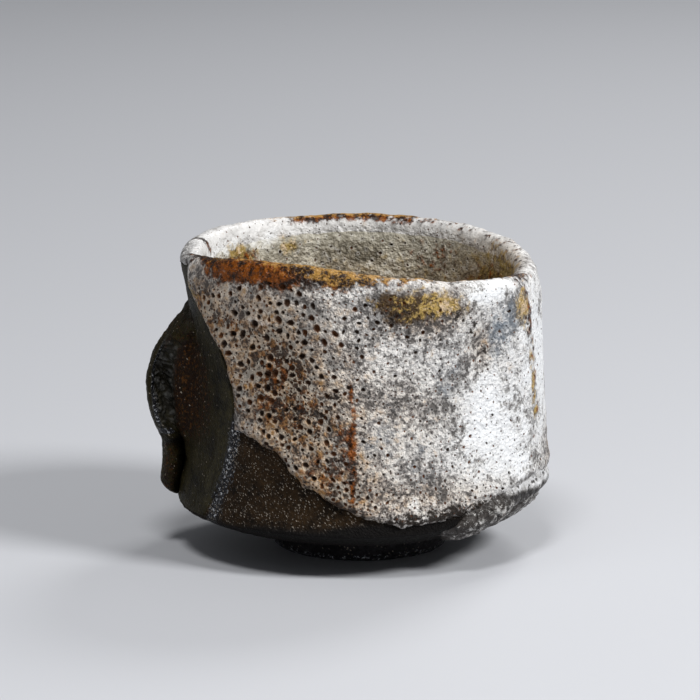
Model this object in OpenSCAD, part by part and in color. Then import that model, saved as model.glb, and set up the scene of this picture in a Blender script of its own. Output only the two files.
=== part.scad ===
// Guinomi: a small faceted stoneware sake cup with a thick, pinholed white glaze.
// The wall is lofted through upright ridges, with a facet between each two of them.
// Every coat is laid on the same net of points as the clay under it, so that they meet face to face.
// The origin is the middle of the foot ring on the table. -Y is the front and the pinched fold is at -X.

/* [Wall] */
// Mean height of the bare clay lip above the table
lip_h = 54.6; // [44:0.2:70]
// Width of the clay wall at the lip
lip_w = 64; // [54:0.5:80]
// Width of the clay wall at its belly
belly_w = 68; // [58:0.5:84]
// Mean height of the trimmed base edge above the table
edge_h = 9.6; // [8:0.2:13]
// How far the base edge rises and falls round the cup
edge_rise = 3.6; // [0:0.2:4]
// How far the lip rises and falls round the cup
lip_rise = 2.6; // [0:0.2:4]
// Thickness of the clay wall at the lip
wall_t = 3.2; // [2:0.1:5]
// Thickness of the clay wall at the base
base_wall_t = 5.2; // [3.5:0.1:7]
// Thickness of the clay floor
floor_t = 5; // [3.5:0.1:7]
// Radius of the hollow where the wall turns into the floor
bowl_r = 11; // [7:0.5:13]
// Height of the rounded crown of the lip
crown_h = 1.2; // [0.6:0.1:2]
// Depth of the press mark on the right front facet
press_depth = 1.3; // [0:0.1:2]

/* [Foot] */
// Outer width of the foot ring
foot_w = 32; // [26:0.5:38]
// Height of the foot ring
foot_h = 4.2; // [3:0.1:5]
// Width of the foot ring's resting face and of its wall
foot_wall_t = 4.4; // [3:0.1:6]
// Bevel on both edges of the resting face
foot_bevel = 0.7; // [0.3:0.1:1]
// How far the outer wall of the foot leans out to its top
foot_flare = 1; // [0:0.1:1.5]
// Depth of the dish that is carved inside the foot ring
dish_depth = 1.2; // [0.5:0.1:2]

/* [Glaze] */
// Thickness of the white outer glaze
glaze_t = 1.1; // [0.6:0.1:1.5]
// Thickness of the rolled lower edge of the outer glaze
glaze_edge_t = 0.9; // [0.5:0.1:1.3]
// Thickness of the glaze inside the cup
lining_t = 0.8; // [0.4:0.1:1.2]
// Thickness of the thin iron-red glaze on the lip
lip_glaze_t = 0.5; // [0.3:0.1:0.9]
// Height of the band of lip glaze outside and inside
lip_band_h = 2.6; // [2:0.1:4]
// Thickness of the dark iron slip in the window
slip_t = 0.4; // [0.2:0.1:0.8]
// Thickness of the crusted glaze roll under the base edge
crust_t = 1.7; // [1:0.1:2.2]

/* [Fold] */
// How far the pinched fold stands out from the wall
fold_reach = 8.4; // [4:0.2:10]
// How far the lip of the fold curls over the thumb hollow
fold_curl = 5; // [2:0.2:6]

/* [Hidden] */

// Feather edge of a coat, where it runs out
feather_t = 0.2;
// How far the flat that the foot ring sits under runs past the ring
foot_margin = 0.8;
// Smallest height of bare clay between the base edge and the glaze's lower edge
bare_h = 0.9;
// Height of the seam of bare clay between the slip and the lip glaze
seam_h = 0.4;

// Height of the belly, as a share of the wall's height
belly_share = 0.38;

// The ridges, from the right front one round by the back: the angle of each at the base, belly and lip.
ridge_angles = [
    [345, 339, 331],
    [375, 373, 365],
    [420, 421, 419],
    [463, 462, 464],
    [505, 506, 508],
    [573, 587.5, 563],
    [628, 627.5, 627]
];
ridges = len(ridge_angles);
// Radius of each ridge at the base, belly and lip, as shares of half the belly, belly and lip widths
ridge_shares = [
    [0.99, 0.965, 1.0],
    [1.03, 1.0, 1.01],
    [1.0, 0.985, 1.01],
    [1.0, 0.985, 1.02],
    [1.0, 0.985, 1.06],
    [0.985, 0.955, 1.045],
    [0.97, 0.965, 0.985]
];
// Roundness of the facet after each ridge at the base, belly and lip: 0 is a flat cut and 1 is a full arc
round_shares = [
    [0.95, 0.75, 0.95],
    [0.9, 0.65, 1.0],
    [0.9, 0.7, 1.0],
    [0.9, 0.65, 1.0],
    [1.0, 0.7, 0.77],
    [0.95, 0.55, 0.95],
    [0.85, 0.5, 0.95]
];
// How far each ridge is worn back towards its neighbours
soft_shares = [0.35, 0.5, 0.5, 0.5, 0.5, 0.1, 0.35];
// Columns of points on each facet
facet_columns = [6, 5, 5, 5, 14, 8, 11];
// The facet that the fold is on, and the share of it between each of its ridges and the slip
window_index = 4;
seam_share = 0.015;
// Share of that facet that the white glaze wraps onto near the lip, and the height shares over which it does
wrap_share = 0.1;
wrap_shares = [0.62, 0.9];

// Rise of the lip, as shares of lip_rise, by angle
lip_shares = [
    [330, -0.85], [345, -1.0], [365, -0.7], [390, 0.05], [415, 0.55], [450, 0.8], [480, 0.7], [500, 0.6],
    [520, 0.35], [548, 0.0], [566, 0.55], [590, 0.95], [612, 0.9], [625, 0.5], [645, 0.0], [664, -0.5],
    [690, -0.85]
];
// Rise of the base edge, as shares of edge_rise, by angle
edge_shares = [
    [330, 0.75], [350, 0.95], [368, 0.85], [400, 0.2], [440, -0.2], [500, -0.15], [570, -0.32], [650, -0.3],
    [668, 0.0], [690, 0.75]
];
// Lower edge of the white glaze, as shares of the wall's height, by ridge number and place on the facet
border_shares = [
    [0, 0.05], [0.5, 0.045], [1, 0.07], [2, 0.13], [2.5, 0.09], [3, 0.15], [3.7, 0.22], [4, 0.32],
    [5, 0.385], [5.35, 0.31], [5.7, 0.17], [6, 0.09], [6.2, 0.03], [7, 0.05]
];

// Place and spread of the press mark: the angle, the height share and how far it reaches in each
press_angle = 676;
press_share = 0.76;
press_spread_angle = 9;
press_spread_share = 0.19;

// Rows of points up the wall: on bare clay, under glaze and on the band of lip glaze
bare_rows = 6;
glaze_rows = 7;
band_rows = 2;
// Rows over the crown of the lip, down the inside and round the bowl
crown_rows = 4;
inside_rows = 5;
bowl_rows = 4;
// Rows under the base edge
under_rows = 4;
// How far the inside of the wall is rounder than the outside
inside_round_share = 0.5;
// Reach of the last row of the bowl, as a share of the way to the middle
well_share = 0.5;

// Net cells of the slip that the fold covers: columns and rows, and how many times finer the fold is
fold_columns = [2, 14];
fold_rows = [0, 11];
fold_step_count = 2;
// Reach of the fold up its height, as shares of fold_reach
fold_rise_shares = [
    [0, 0.16], [0.07, 0.42], [0.15, 0.44], [0.22, 0.48], [0.3, 0.59], [0.37, 0.71], [0.45, 0.87],
    [0.55, 0.98], [0.6, 1.0], [0.66, 0.96], [0.76, 0.81], [0.84, 0.58], [0.91, 0.28], [1, 0.03]
];
// The fold is drawn in places across it, this many from its back to its front. Past the last one it lies flat.
fold_place_count = 24;
// How far it stands out at each place, as shares of its reach: as a plain lobe at its foot, as a lip, a thumb
// hollow and a swelling at half height, and as a closed shoulder above the hollow
fold_foot_shares = [0.02, 0.17, 0.36, 0.56, 0.74, 0.89, 1, 1, 0.93, 0.74, 0.47, 0.06, 0.02];
fold_lip_shares = [
    0.02, 0.23, 0.43, 0.62, 0.79, 0.93, 0.98, 1, 0.94, 0.81, 0.61, 0.44, 0.38, 0.21, 0.05, 0.03, 0.02
];
fold_top_shares = [
    0.02, 0.22, 0.4, 0.58, 0.74, 0.87, 0.98, 1, 0.87, 0.7, 0.56, 0.42, 0.31, 0.17, 0.07, 0.03, 0.02
];
// How far each place moves towards the front, as shares of fold_curl: the lip goes forward and the hollow back
fold_foot_curl_shares = [0, 0, 0, 0, 0, 0.1, 0.4, 0.78, 1, 1, 0.55, -0.6, -0.5, -0.25, -0.1, 0];
fold_lip_curl_shares = [
    0, 0, 0, 0, 0, 0.02, 0.3, 0.62, 0.84, 0.05, -0.9, -0.7, -0.26, -0.28, -0.24, -0.12, 0
];
fold_top_curl_shares = [
    0, 0, 0, 0, 0, 0, 0.2, 0.4, 0.38, 0.19, 0, -0.07, -0.08, -0.14, -0.14, -0.06, 0
];
// Shares of the fold's height between which the lobe turns into the lip, and the lip into the shoulder
fold_open_shares = [0.3, 0.48];
fold_close_shares = [0.64, 0.78];
// Reach, as a share of fold_reach, from which the fold curls in full
fold_curled_share = 0.4;

// Columns of the net that the crusted roll covers, by ridge number and place, and where it is thickest
roll_place_shares = [6.3, 7.75];
roll_shares = [[0, 0.25], [0.12, 0.85], [0.3, 1.0], [0.55, 0.7], [0.8, 0.45], [1, 0.2]];
// Rows under the base edge that the roll covers
roll_under_rows = 3;

foot_r = foot_w / 2;
foot_inner_r = foot_r - foot_wall_t;
flat_inner_r = foot_inner_r - foot_margin;
flat_outer_r = foot_r + foot_flare + foot_margin;
floor_z = foot_h + dish_depth + floor_t;

function mix(a, b, t) = a + (b - a) * t;
function ease(t) = t * t * (3 - 2 * t);
// 0 below a span, 1 above it and eased between
function ramp(x, span) = ease(max(0, min(1, (x - span[0]) / (span[1] - span[0]))));
function polar(r, a) = [r * cos(a), r * sin(a)];
function angle_of(p) = atan2(p.y, p.x);

// The value at t of the curve through base, belly and lip values
function through(v, t) = let (m = belly_share)
    v[0] * (t - m) * (t - 1) / m + v[1] * t * (1 - t) / (m * (1 - m)) + v[2] * t * (t - m) / (1 - m);

// The value at x in a table of [place, value] pairs, eased from each pair to the next
function eased(x, table, i = 0) =
    i >= len(table) - 2 || x <= table[i + 1][0]
    ? mix(table[i][1], table[i + 1][1], ramp(x, [table[i][0], table[i + 1][0]]))
    : eased(x, table, i + 1);

// An angle brought into the turn that the tables cover
function turned(a) = a < 330 ? turned(a + 360) : a >= 690 ? turned(a - 360) : a;

function lip_z(a) = lip_h + lip_rise * eased(turned(a), lip_shares);
function edge_z(a) = edge_h + edge_rise * eased(turned(a), edge_shares);

// Column of the net: [facet, place on the facet]
columns = [
    for (k = [0 : ridges - 1])
        each [
            [k, 0],
            if (k == window_index) [k, seam_share],
            for (i = [1 : facet_columns[k] - 1]) [k, i / facet_columns[k]],
            if (k == window_index) each [[k, 1 - 2 * seam_share], [k, 1 - seam_share]]
        ]
];
column_count = len(columns);
window_start = len([for (c = columns) if (c[0] < window_index) c]) + 1;
window_end = window_start + facet_columns[window_index];

function ridge_angle(k, h) = through(ridge_angles[k % ridges], h) + (k < ridges ? 0 : 360);
function ridge_radius(k, h) = let (s = ridge_shares[k % ridges])
    through([s[0] * belly_w, s[1] * belly_w, s[2] * lip_w], h) / 2;

// Depth of the press mark at an angle and height share
function press(a, h) = let (
        u = (turned(a) - press_angle) / press_spread_angle,
        v = (h - press_share) / press_spread_share
    ) press_depth * exp(-u * u - v * v);

// A facet's outline at height share h: a chord between its ridges, rounded towards the arc
function facet_xy(k, f, h) = let (
        a0 = ridge_angle(k, h), a1 = ridge_angle(k + 1, h),
        r0 = ridge_radius(k, h), r1 = ridge_radius(k + 1, h),
        chord = mix(polar(r0, a0), polar(r1, a1), f),
        arc = polar(mix(r0, r1, f), mix(a0, a1, f)),
        p = mix(chord, arc, through(round_shares[k], h))
    ) p - polar(press(angle_of(p), h), angle_of(p));

function column_xy(c, h) = let (
        k = columns[c][0],
        wrapped = k == window_index ? wrap_share * ramp(h, wrap_shares) : 0
    ) facet_xy(k, columns[c][1] * (1 - wrapped), h);

// The clay wall's outline in column c, with each ridge worn a little
function wall_xy(c, h) = let (
        p = column_xy(c, h),
        last = column_xy((c + column_count - 1) % column_count, h),
        next = column_xy((c + 1) % column_count, h),
        soft = columns[c][1] == 0 ? soft_shares[columns[c][0]] : 0
    ) mix(p, (last + next) / 2, soft);

function mean_radius(h) = through([belly_w, belly_w, lip_w], h) / 2;

// The angle that sets a column's lip and base edge heights
column_angles = [for (c = [0 : column_count - 1]) angle_of(wall_xy(c, 1))];
base_angles = [for (c = [0 : column_count - 1]) angle_of(wall_xy(c, 0))];
bottoms = [for (a = base_angles) edge_z(a)];
tops = [for (a = column_angles) lip_z(a) - crown_h];
borders = [
    for (c = [0 : column_count - 1])
        max(bare_h / (tops[c] - bottoms[c]), eased(columns[c][0] + columns[c][1], border_shares))
];
// Height shares where the band of lip glaze starts, and where the slip under it ends
bands = [for (c = [0 : column_count - 1]) 1 - lip_band_h / (tops[c] - bottoms[c])];
seams = [for (c = [0 : column_count - 1]) bands[c] - seam_h / (tops[c] - bottoms[c])];

// A point of the net and the way that a coat on it grows
function knot(xy, z, out, up) = let (a = angle_of(xy))
    [[xy.x, xy.y, z], [cos(a) * out, sin(a) * out, up]];

// A row of the outer wall, at each column's own height share
function wall_row(shares) = [
    for (c = [0 : column_count - 1]) knot(wall_xy(c, shares[c]), mix(bottoms[c], tops[c], shares[c]), 1, 0)
];
function between(low, high, t) = [for (c = [0 : column_count - 1]) mix(low[c], high[c], t)];
feet = [for (c = [0 : column_count - 1]) 0];
full = [for (c = [0 : column_count - 1]) 1];

wall_net = [
    for (j = [0 : bare_rows - 1]) wall_row(between(feet, borders, j / bare_rows)),
    for (j = [0 : glaze_rows - 1]) wall_row(between(borders, seams, j / (glaze_rows - 1))),
    for (j = [0 : band_rows]) wall_row(between(bands, full, j / band_rows))
];

function wall_thickness(h) = mix(base_wall_t, wall_t, max(0, min(1, h)));

// The inside of the wall in column c at height z, a little rounder than the outside
function inside_xy(c, z) = let (
        h = max(0, (z - bottoms[c]) / (tops[c] - bottoms[c])),
        p = wall_xy(c, h),
        r = mix(norm(p), mean_radius(h), inside_round_share * (1 - h)) - wall_thickness(h)
    ) polar(r, angle_of(p));

// The crown of the lip is half an ellipse from the outside of the wall to its inside
function crown_row(turn) = [
    for (c = [0 : column_count - 1])
        let (
            outer = wall_xy(c, 1), inner = inside_xy(c, tops[c]),
            xy = mix(outer, inner, (1 - cos(turn)) / 2)
        ) knot(xy, tops[c] + crown_h * sin(turn), cos(turn), sin(turn))
];
crown_net = [for (j = [1 : crown_rows - 1]) crown_row(180 * j / crown_rows)];

bowl_top = floor_z + bowl_r;
// Rows down the inside: the first is the crown's end, the next is the end of the lip band
function inside_row(t) = [
    for (c = [0 : column_count - 1])
        let (
            band = tops[c] - lip_band_h,
            z = t < 0 ? mix(tops[c], band, t + 1) : mix(band, bowl_top, t)
        ) knot(inside_xy(c, z), z, -1, 0)
];
function bowl_row(turn) = [
    for (c = [0 : column_count - 1])
        let (
            wall = inside_xy(c, bowl_top),
            r = norm(wall) - bowl_r * (1 - cos(turn))
        ) knot(polar(r, angle_of(wall)), bowl_top - bowl_r * sin(turn), -cos(turn), sin(turn))
];
well_row = [
    for (p = bowl_row(90)) knot([p[0].x, p[0].y] * well_share, floor_z, 0, 1)
];
inside_net = [
    for (j = [0 : band_rows - 1]) inside_row(j / band_rows - 1),
    for (j = [0 : inside_rows - 1]) inside_row(j / inside_rows),
    for (j = [0 : bowl_rows]) bowl_row(90 * j / bowl_rows),
    well_row
];

// Rows under the base edge, from the flat over the foot ring out to the edge
function flat_row(r, z) = [for (c = [0 : column_count - 1]) knot(polar(r, base_angles[c]), z, 0, -1)];
under_net = [
    for (j = [0 : under_rows - 1])
        let (t = j / under_rows)
        [
            for (c = [0 : column_count - 1])
                let (edge = wall_xy(c, 0), flat = polar(flat_outer_r, base_angles[c]))
                knot(mix(flat, edge, t), mix(foot_h, bottoms[c], t * t), t, -1 + t / 2)
        ]
];

net = [each wall_net, each crown_net, each inside_net];
border_row = bare_rows;
band_row = bare_rows + glaze_rows;
inner_band_row = len(wall_net) + len(crown_net) + band_rows;

function places(rows) = [for (row = rows) [for (p = row) p[0]]];
function raised(rows, thickness) = [
    for (j = [0 : len(rows) - 1])
        [for (c = [0 : len(rows[j]) - 1]) rows[j][c][0] + rows[j][c][1] * thickness[j][c]]
];
function evenly(rows, t) = [for (row = rows) [for (p = row) t]];
function slice(list, from, to) = [for (i = [from : to]) list[i]];
function cut_columns(rows, from, to) = [for (row = rows) [for (c = [from : to]) row[c % column_count]]];

// Two triangles for each cell of a net of points, numbered from first
function cell_faces(rows, cols, first, closed, flipped) = [
    for (j = [0 : rows - 2], i = [0 : cols - (closed ? 1 : 2)])
        let (
            a = first + j * cols + i, b = first + j * cols + (i + 1) % cols,
            d = a + cols, e = b + cols
        )
        each (flipped ? [[a, b, e], [a, e, d]] : [[a, e, b], [a, d, e]])
];
// A strip of triangles between two lists of point numbers
function strip_faces(low, high) = [
    for (i = [0 : len(low) - 2]) each [[low[i], low[i + 1], high[i + 1]], [low[i], high[i + 1], high[i]]]
];

// A closed coat between two matching nets: under is its back and over is its face.
// closed is true where the coat goes right round the cup.
module coat(under, over, closed = true) {
    rows = len(under);
    cols = len(under[0]);
    over_first = rows * cols;
    bottom = [for (i = [0 : cols - (closed ? 0 : 1)]) i % cols];
    top = [for (i = bottom) i + (rows - 1) * cols];
    left = [for (j = [0 : rows - 1]) j * cols];
    right = [for (j = left) j + cols - 1];
    points = [for (row = under) each row, for (row = over) each row];
    faces = [
        each cell_faces(rows, cols, 0, closed, true),
        each cell_faces(rows, cols, over_first, closed, false),
        each strip_faces([for (i = bottom) i + over_first], bottom),
        each strip_faces(top, [for (i = top) i + over_first]),
        if (!closed) each strip_faces(left, [for (i = left) i + over_first]),
        if (!closed) each strip_faces([for (i = right) i + over_first], right)
    ];
    polyhedron(points, [for (f = faces) [f[2], f[1], f[0]]]);
}

// The thrown and cut clay: foot flat, underside, wall, lip and bowl as one skin closed at both middles
module clay_body() {
    rings = [
        [for (p = flat_row(flat_inner_r * well_share, foot_h + dish_depth)) p[0]],
        [for (p = flat_row(flat_inner_r, foot_h)) p[0]],
        each places(under_net),
        each places(net)
    ];
    middle = len(rings) * column_count;
    last = middle - column_count;
    points = [for (row = rings) each row, [0, 0, foot_h + dish_depth], [0, 0, floor_z]];
    faces = [
        each cell_faces(len(rings), column_count, 0, true, false),
        for (c = [0 : column_count - 1]) each [
            [c, (c + 1) % column_count, middle],
            [last + (c + 1) % column_count, last + c, middle + 1]
        ]
    ];
    color([0.27, 0.21, 0.17]) polyhedron(points, [for (f = faces) [f[2], f[1], f[0]]]);
}

// The trimmed foot ring, bevelled at its resting face and flared to the flat above it
module foot_ring() {
    color([0.16, 0.14, 0.13])
        rotate_extrude($fn = 96)
            polygon([
                [foot_inner_r, foot_h],
                [foot_inner_r, foot_bevel],
                [foot_inner_r + foot_bevel, 0],
                [foot_r - foot_bevel, 0],
                [foot_r, foot_bevel],
                [foot_r + foot_flare, foot_h]
            ]);
}

// Thickness of the outer glaze: a rolled edge below, full on the wall and thin where the lip glaze starts
function glaze_thickness(t) = t == 0 ? glaze_edge_t : mix(glaze_t, lip_glaze_t, ramp(t, [0.75, 1]));

// It covers every facet but the window
module outer_glaze() {
    rows = cut_columns(slice(net, border_row, band_row), window_end + 1, window_start - 1 + column_count);
    thickness = [for (j = [0 : glaze_rows]) [for (p = rows[j]) glaze_thickness(j / (glaze_rows - 1))]];
    over = raised(rows, thickness);
    color([0.82, 0.8, 0.76]) coat(places(rows), over, closed = false);
}

module lip_glaze() {
    rows = slice(net, band_row, inner_band_row);
    color([0.5, 0.27, 0.12]) coat(places(rows), raised(rows, evenly(rows, lip_glaze_t)));
}

// The lining runs from the lip band down the wall and over the floor to the middle
module inner_glaze() {
    rows = slice(net, inner_band_row, len(net) - 1);
    last = len(rows) - 1;
    thickness = [
        for (j = [0 : last]) [for (p = rows[j]) mix(lip_glaze_t, lining_t, min(1, j))]
    ];
    under = places(rows);
    over = raised(rows, thickness);
    over_first = len(rows) * column_count;
    under_middle = 2 * over_first;
    points = [
        for (row = under) each row, for (row = over) each row,
        [0, 0, floor_z], [0, 0, floor_z + lining_t]
    ];
    rim = [for (i = [0 : column_count]) i % column_count];
    ring = last * column_count;
    faces = [
        each cell_faces(len(rows), column_count, 0, true, true),
        each cell_faces(len(rows), column_count, over_first, true, false),
        each strip_faces([for (i = rim) i + over_first], rim),
        for (i = [0 : column_count - 1]) each [
            [ring + rim[i], ring + rim[i + 1], under_middle],
            [over_first + ring + rim[i + 1], over_first + ring + rim[i], under_middle + 1]
        ]
    ];
    color([0.74, 0.74, 0.7]) polyhedron(points, [for (f = faces) [f[2], f[1], f[0]]]);
}

// The net of the window, where the dark slip and the fold lie
window_net = cut_columns(slice(net, 0, band_row - 1), window_start, window_end);
slip_face = raised(window_net, evenly(window_net, slip_t));

module iron_slip() {
    color([0.13, 0.13, 0.11]) coat(places(window_net), slip_face, closed = false);
}

// A point of a net between its knots, on the same two triangles as its cell, so that it lies in their planes
function on_net(rows, j, i) = let (
        j0 = min(floor(j), len(rows) - 2), i0 = min(floor(i), len(rows[0]) - 2), v = j - j0, u = i - i0,
        a = rows[j0][i0], b = rows[j0][i0 + 1], d = rows[j0 + 1][i0], e = rows[j0 + 1][i0 + 1]
    ) u >= v ? a + (b - a) * u + (e - b) * v : a + (d - a) * v + (e - d) * u;

// The value at s across the fold in a list that goes from place to place
function across_fold(s, list) = let (
        x = min(s * fold_place_count, len(list) - 1),
        i = min(floor(x), len(list) - 2)
    ) mix(list[i], list[i + 1], x - i);
// The value at s across the fold and t up it, from the lists for its foot, its lip and its top
function on_fold(s, t, foot, lip, top) = mix(
    mix(across_fold(s, foot), across_fold(s, lip), ramp(t, fold_open_shares)),
    across_fold(s, top), ramp(t, fold_close_shares)
);

// The pinched fold: laid on the slip, standing out to a lip that curls towards the front round a thumb hollow
module pinched_fold() {
    cols = (fold_columns[1] - fold_columns[0]) * fold_step_count;
    rows = (fold_rows[1] - fold_rows[0]) * fold_step_count;
    under = [
        for (j = [0 : rows])
            let (row = fold_rows[0] + j / fold_step_count)
            [for (i = [0 : cols]) on_net(slip_face, row, fold_columns[0] + i / fold_step_count)]
    ];
    over = [
        for (j = [0 : rows])
            [
                for (i = [0 : cols])
                    let (
                        p = under[j][i], a = angle_of(p), s = i / cols,
                        t = (p.z - under[0][i].z) / (under[rows][i].z - under[0][i].z),
                        rise = fold_reach * eased(t, fold_rise_shares),
                        shape = on_fold(s, t, fold_foot_shares, fold_lip_shares, fold_top_shares),
                        move = on_fold(s, t, fold_foot_curl_shares, fold_lip_curl_shares, fold_top_curl_shares),
                        out = max(feather_t, rise * shape),
                        along = fold_curl * move * ramp(rise / fold_reach, [0, fold_curled_share])
                    ) p + [cos(a) * out - sin(a) * along, sin(a) * out + cos(a) * along, 0]
            ]
    ];
    color([0.2, 0.16, 0.13]) coat(under, over, closed = false);
}

function column_at(place) = len([for (c = columns) if (c[0] + c[1] < place % ridges) c])
    + (place < ridges ? 0 : column_count);

// The crusted roll of glaze and grit that hangs under the base edge on the right
module glaze_roll() {
    from = column_at(roll_place_shares[0]);
    to = column_at(roll_place_shares[1]);
    rows = cut_columns(
        [each slice(under_net, under_rows - roll_under_rows, under_rows - 1), each slice(net, 0, border_row)],
        from, to
    );
    thickness = [
        for (j = [0 : len(rows) - 1])
            [
                for (c = [0 : to - from])
                    let (
                        up = (j - roll_under_rows) / bare_rows,
                        near = j < roll_under_rows ? j / roll_under_rows : 1 - up,
                        full = max(glaze_edge_t, crust_t * eased(c / (to - from), roll_shares))
                    ) j == len(rows) - 1 ? glaze_edge_t : mix(feather_t, full, ease(near))
            ]
    ];
    color([0.45, 0.4, 0.34]) coat(places(rows), raised(rows, thickness), closed = false);
}

clay_body();
foot_ring();
outer_glaze();
lip_glaze();
inner_glaze();
iron_slip();
pinched_fold();
glaze_roll();
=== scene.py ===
"""The guinomi sake cup: its clay, glazes, slip and fold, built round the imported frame.

Lengths in this file are millimetres and angles are degrees, seen from above and counted from +X towards +Y,
until a mesh is made. The photographed side faces -Y.
"""
import logging
import math
from dataclasses import dataclass, field
from enum import Enum
from itertools import product
from typing import Sequence

import bpy
import numpy as np
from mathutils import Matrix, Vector
from mathutils.bvhtree import BVHTree
from mathutils.geometry import delaunay_2d_cdt
from mathutils.kdtree import KDTree


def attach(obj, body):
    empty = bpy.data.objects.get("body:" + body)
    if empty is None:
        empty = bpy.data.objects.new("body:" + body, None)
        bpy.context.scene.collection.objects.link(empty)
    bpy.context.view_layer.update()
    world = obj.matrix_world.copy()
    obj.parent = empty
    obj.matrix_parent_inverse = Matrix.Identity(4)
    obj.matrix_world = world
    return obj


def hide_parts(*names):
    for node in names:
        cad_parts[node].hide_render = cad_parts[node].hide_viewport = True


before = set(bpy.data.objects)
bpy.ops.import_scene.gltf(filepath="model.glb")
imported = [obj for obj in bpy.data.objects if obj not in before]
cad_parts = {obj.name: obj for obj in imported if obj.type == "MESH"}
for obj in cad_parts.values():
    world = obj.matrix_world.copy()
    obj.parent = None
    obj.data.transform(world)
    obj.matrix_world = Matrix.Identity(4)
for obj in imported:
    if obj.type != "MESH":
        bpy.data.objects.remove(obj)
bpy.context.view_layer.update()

LOG = logging.getLogger("guinomi")
MM = 0.001
UNROLL = 33.0  # radius at which coats are drawn flat
CUT = 180.0  # angle at which that drawing is cut
ROUND = 2 * math.pi * UNROLL
OUTSIDE = 60.0  # radius that lies clear of the cup
NEAR_SIDE = 15.0  # a level ray that gets further in than this has missed the near wall
Array = np.ndarray
Pairs = Sequence[tuple[float, float]]


class Slot(Enum):
    """The record's material slots, one for each kind of visible piece."""

    CLAY = "bare_clay"
    FOOT = "foot_clay"
    WHITE = "white_glaze"
    LIP = "lip_glaze"
    INNER = "inner_glaze"
    SLIP = "iron_slip"
    FOLD = "fold_clay"
    CRUST = "crusted_glaze"


def smooth(x: Array, low: float, high: float) -> Array:
    """Ease x from 0 at low to 1 at high.

    Args:
        x: Values to ease.
        low: Where the result leaves 0.
        high: Where the result reaches 1.

    Returns:
        The eased values.
    """
    t = np.clip((np.asarray(x, dtype=float) - low) / (high - low), 0, 1)
    return t * t * (3 - 2 * t)


def turn_table(angle: Array, pairs: Pairs) -> Array:
    """Read a table of (angle, value) pairs that goes round the cup.

    Args:
        angle: Angles to read it at.
        pairs: The pairs, in order of angle.

    Returns:
        The value at each angle.
    """
    places, values = zip(*pairs)
    return np.interp(np.asarray(angle) % 360, places, values, period=360)


def turn_gap(angle: Array, middle: float) -> Array:
    """Return how far each angle lies from middle, between -180 and 180."""
    return (np.asarray(angle) - middle + 180) % 360 - 180


def angle_of(across: Array) -> Array:
    """Return the angle of each place along the flat drawing."""
    return CUT + np.degrees(across / UNROLL)


def across_of(angle: Array) -> Array:
    """Return where each angle lies along the flat drawing."""
    return np.radians(angle - CUT) * UNROLL


def band(x: Array, low: float | Array, full: float | Array, fading: float, gone: float) -> Array:
    """Ease x from 0 at low to 1 at full, and from 1 at fading back to 0 at gone."""
    return smooth(x, low, full) * (1 - smooth(x, fading, gone))


def bell(x: Array, middle: float | Array, width: float | Array) -> Array:
    """Return 1 where x is at the middle, less beside it, and next to nothing two widths away."""
    return np.exp(-((x - middle) / width) ** 2)


class Grain:
    """Smooth noise in space, the same on every run."""

    def __init__(self, seed: int) -> None:
        """Draw the directions and the shuffle that the noise is made from."""
        rng = np.random.default_rng(seed)
        self.shuffle = rng.permutation(256)
        ways = rng.normal(size=(256, 3))
        self.ways = ways / np.linalg.norm(ways, axis=1, keepdims=True)

    def __call__(self, points: Array, size: float) -> Array:
        """Read the noise.

        Args:
            points: Places in space, one a row.
            size: Width of one lump of the noise.

        Returns:
            A value from about -1 to 1 at each place.
        """
        scaled = points / size
        cell = np.floor(scaled).astype(int)
        part = scaled - cell
        ease = part ** 3 * (part * (part * 6 - 15) + 10)
        total = np.zeros(len(points))
        for corner in product((0, 1), repeat=3):
            key = np.zeros(len(points), dtype=int)
            for axis in range(3):
                key = self.shuffle[(key + cell[:, axis] + corner[axis]) & 255]
            dot = ((part - corner) * self.ways[key]).sum(axis=1)
            total += np.prod(np.where(corner, ease, 1 - ease), axis=1) * dot
        return total * 1.6

    def layers(self, points: Array, size: float, count: int = 3) -> Array:
        """Add up count layers of the noise, each half as wide and half as strong as the one before."""
        total = sum(self(points + 7.3 * k, size / 2 ** k) / 2 ** k for k in range(count))
        return total / (2 - 0.5 ** (count - 1))


GRAIN = Grain(11)


def tree_of(names: Sequence[str]) -> BVHTree:
    """Make a tree for ray casts from the frame's nodes.

    Args:
        names: The nodes.

    Returns:
        The tree, in millimetres.
    """
    points: list[Vector] = []
    faces: list[list[int]] = []
    for name in names:
        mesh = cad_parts[name].data
        first = len(points)
        points.extend(vertex.co / MM for vertex in mesh.vertices)
        faces.extend([first + index for index in face.vertices] for face in mesh.polygons)
    return BVHTree.FromPolygons(points, faces)


def meets(tree: BVHTree, angle: float, height: float) -> bool:
    """Tell whether a level ray from outside meets the near side of a tree.

    Args:
        tree: The tree.
        angle: Angle that the ray comes from.
        height: Height of the ray.

    Returns:
        Whether it does.
    """
    way = Vector((math.cos(math.radians(angle)), math.sin(math.radians(angle)), 0))
    hit = tree.ray_cast(way * OUTSIDE + Vector((0, 0, height)), -way)[0]
    return hit is not None and hit.dot(way) > NEAR_SIDE


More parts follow.
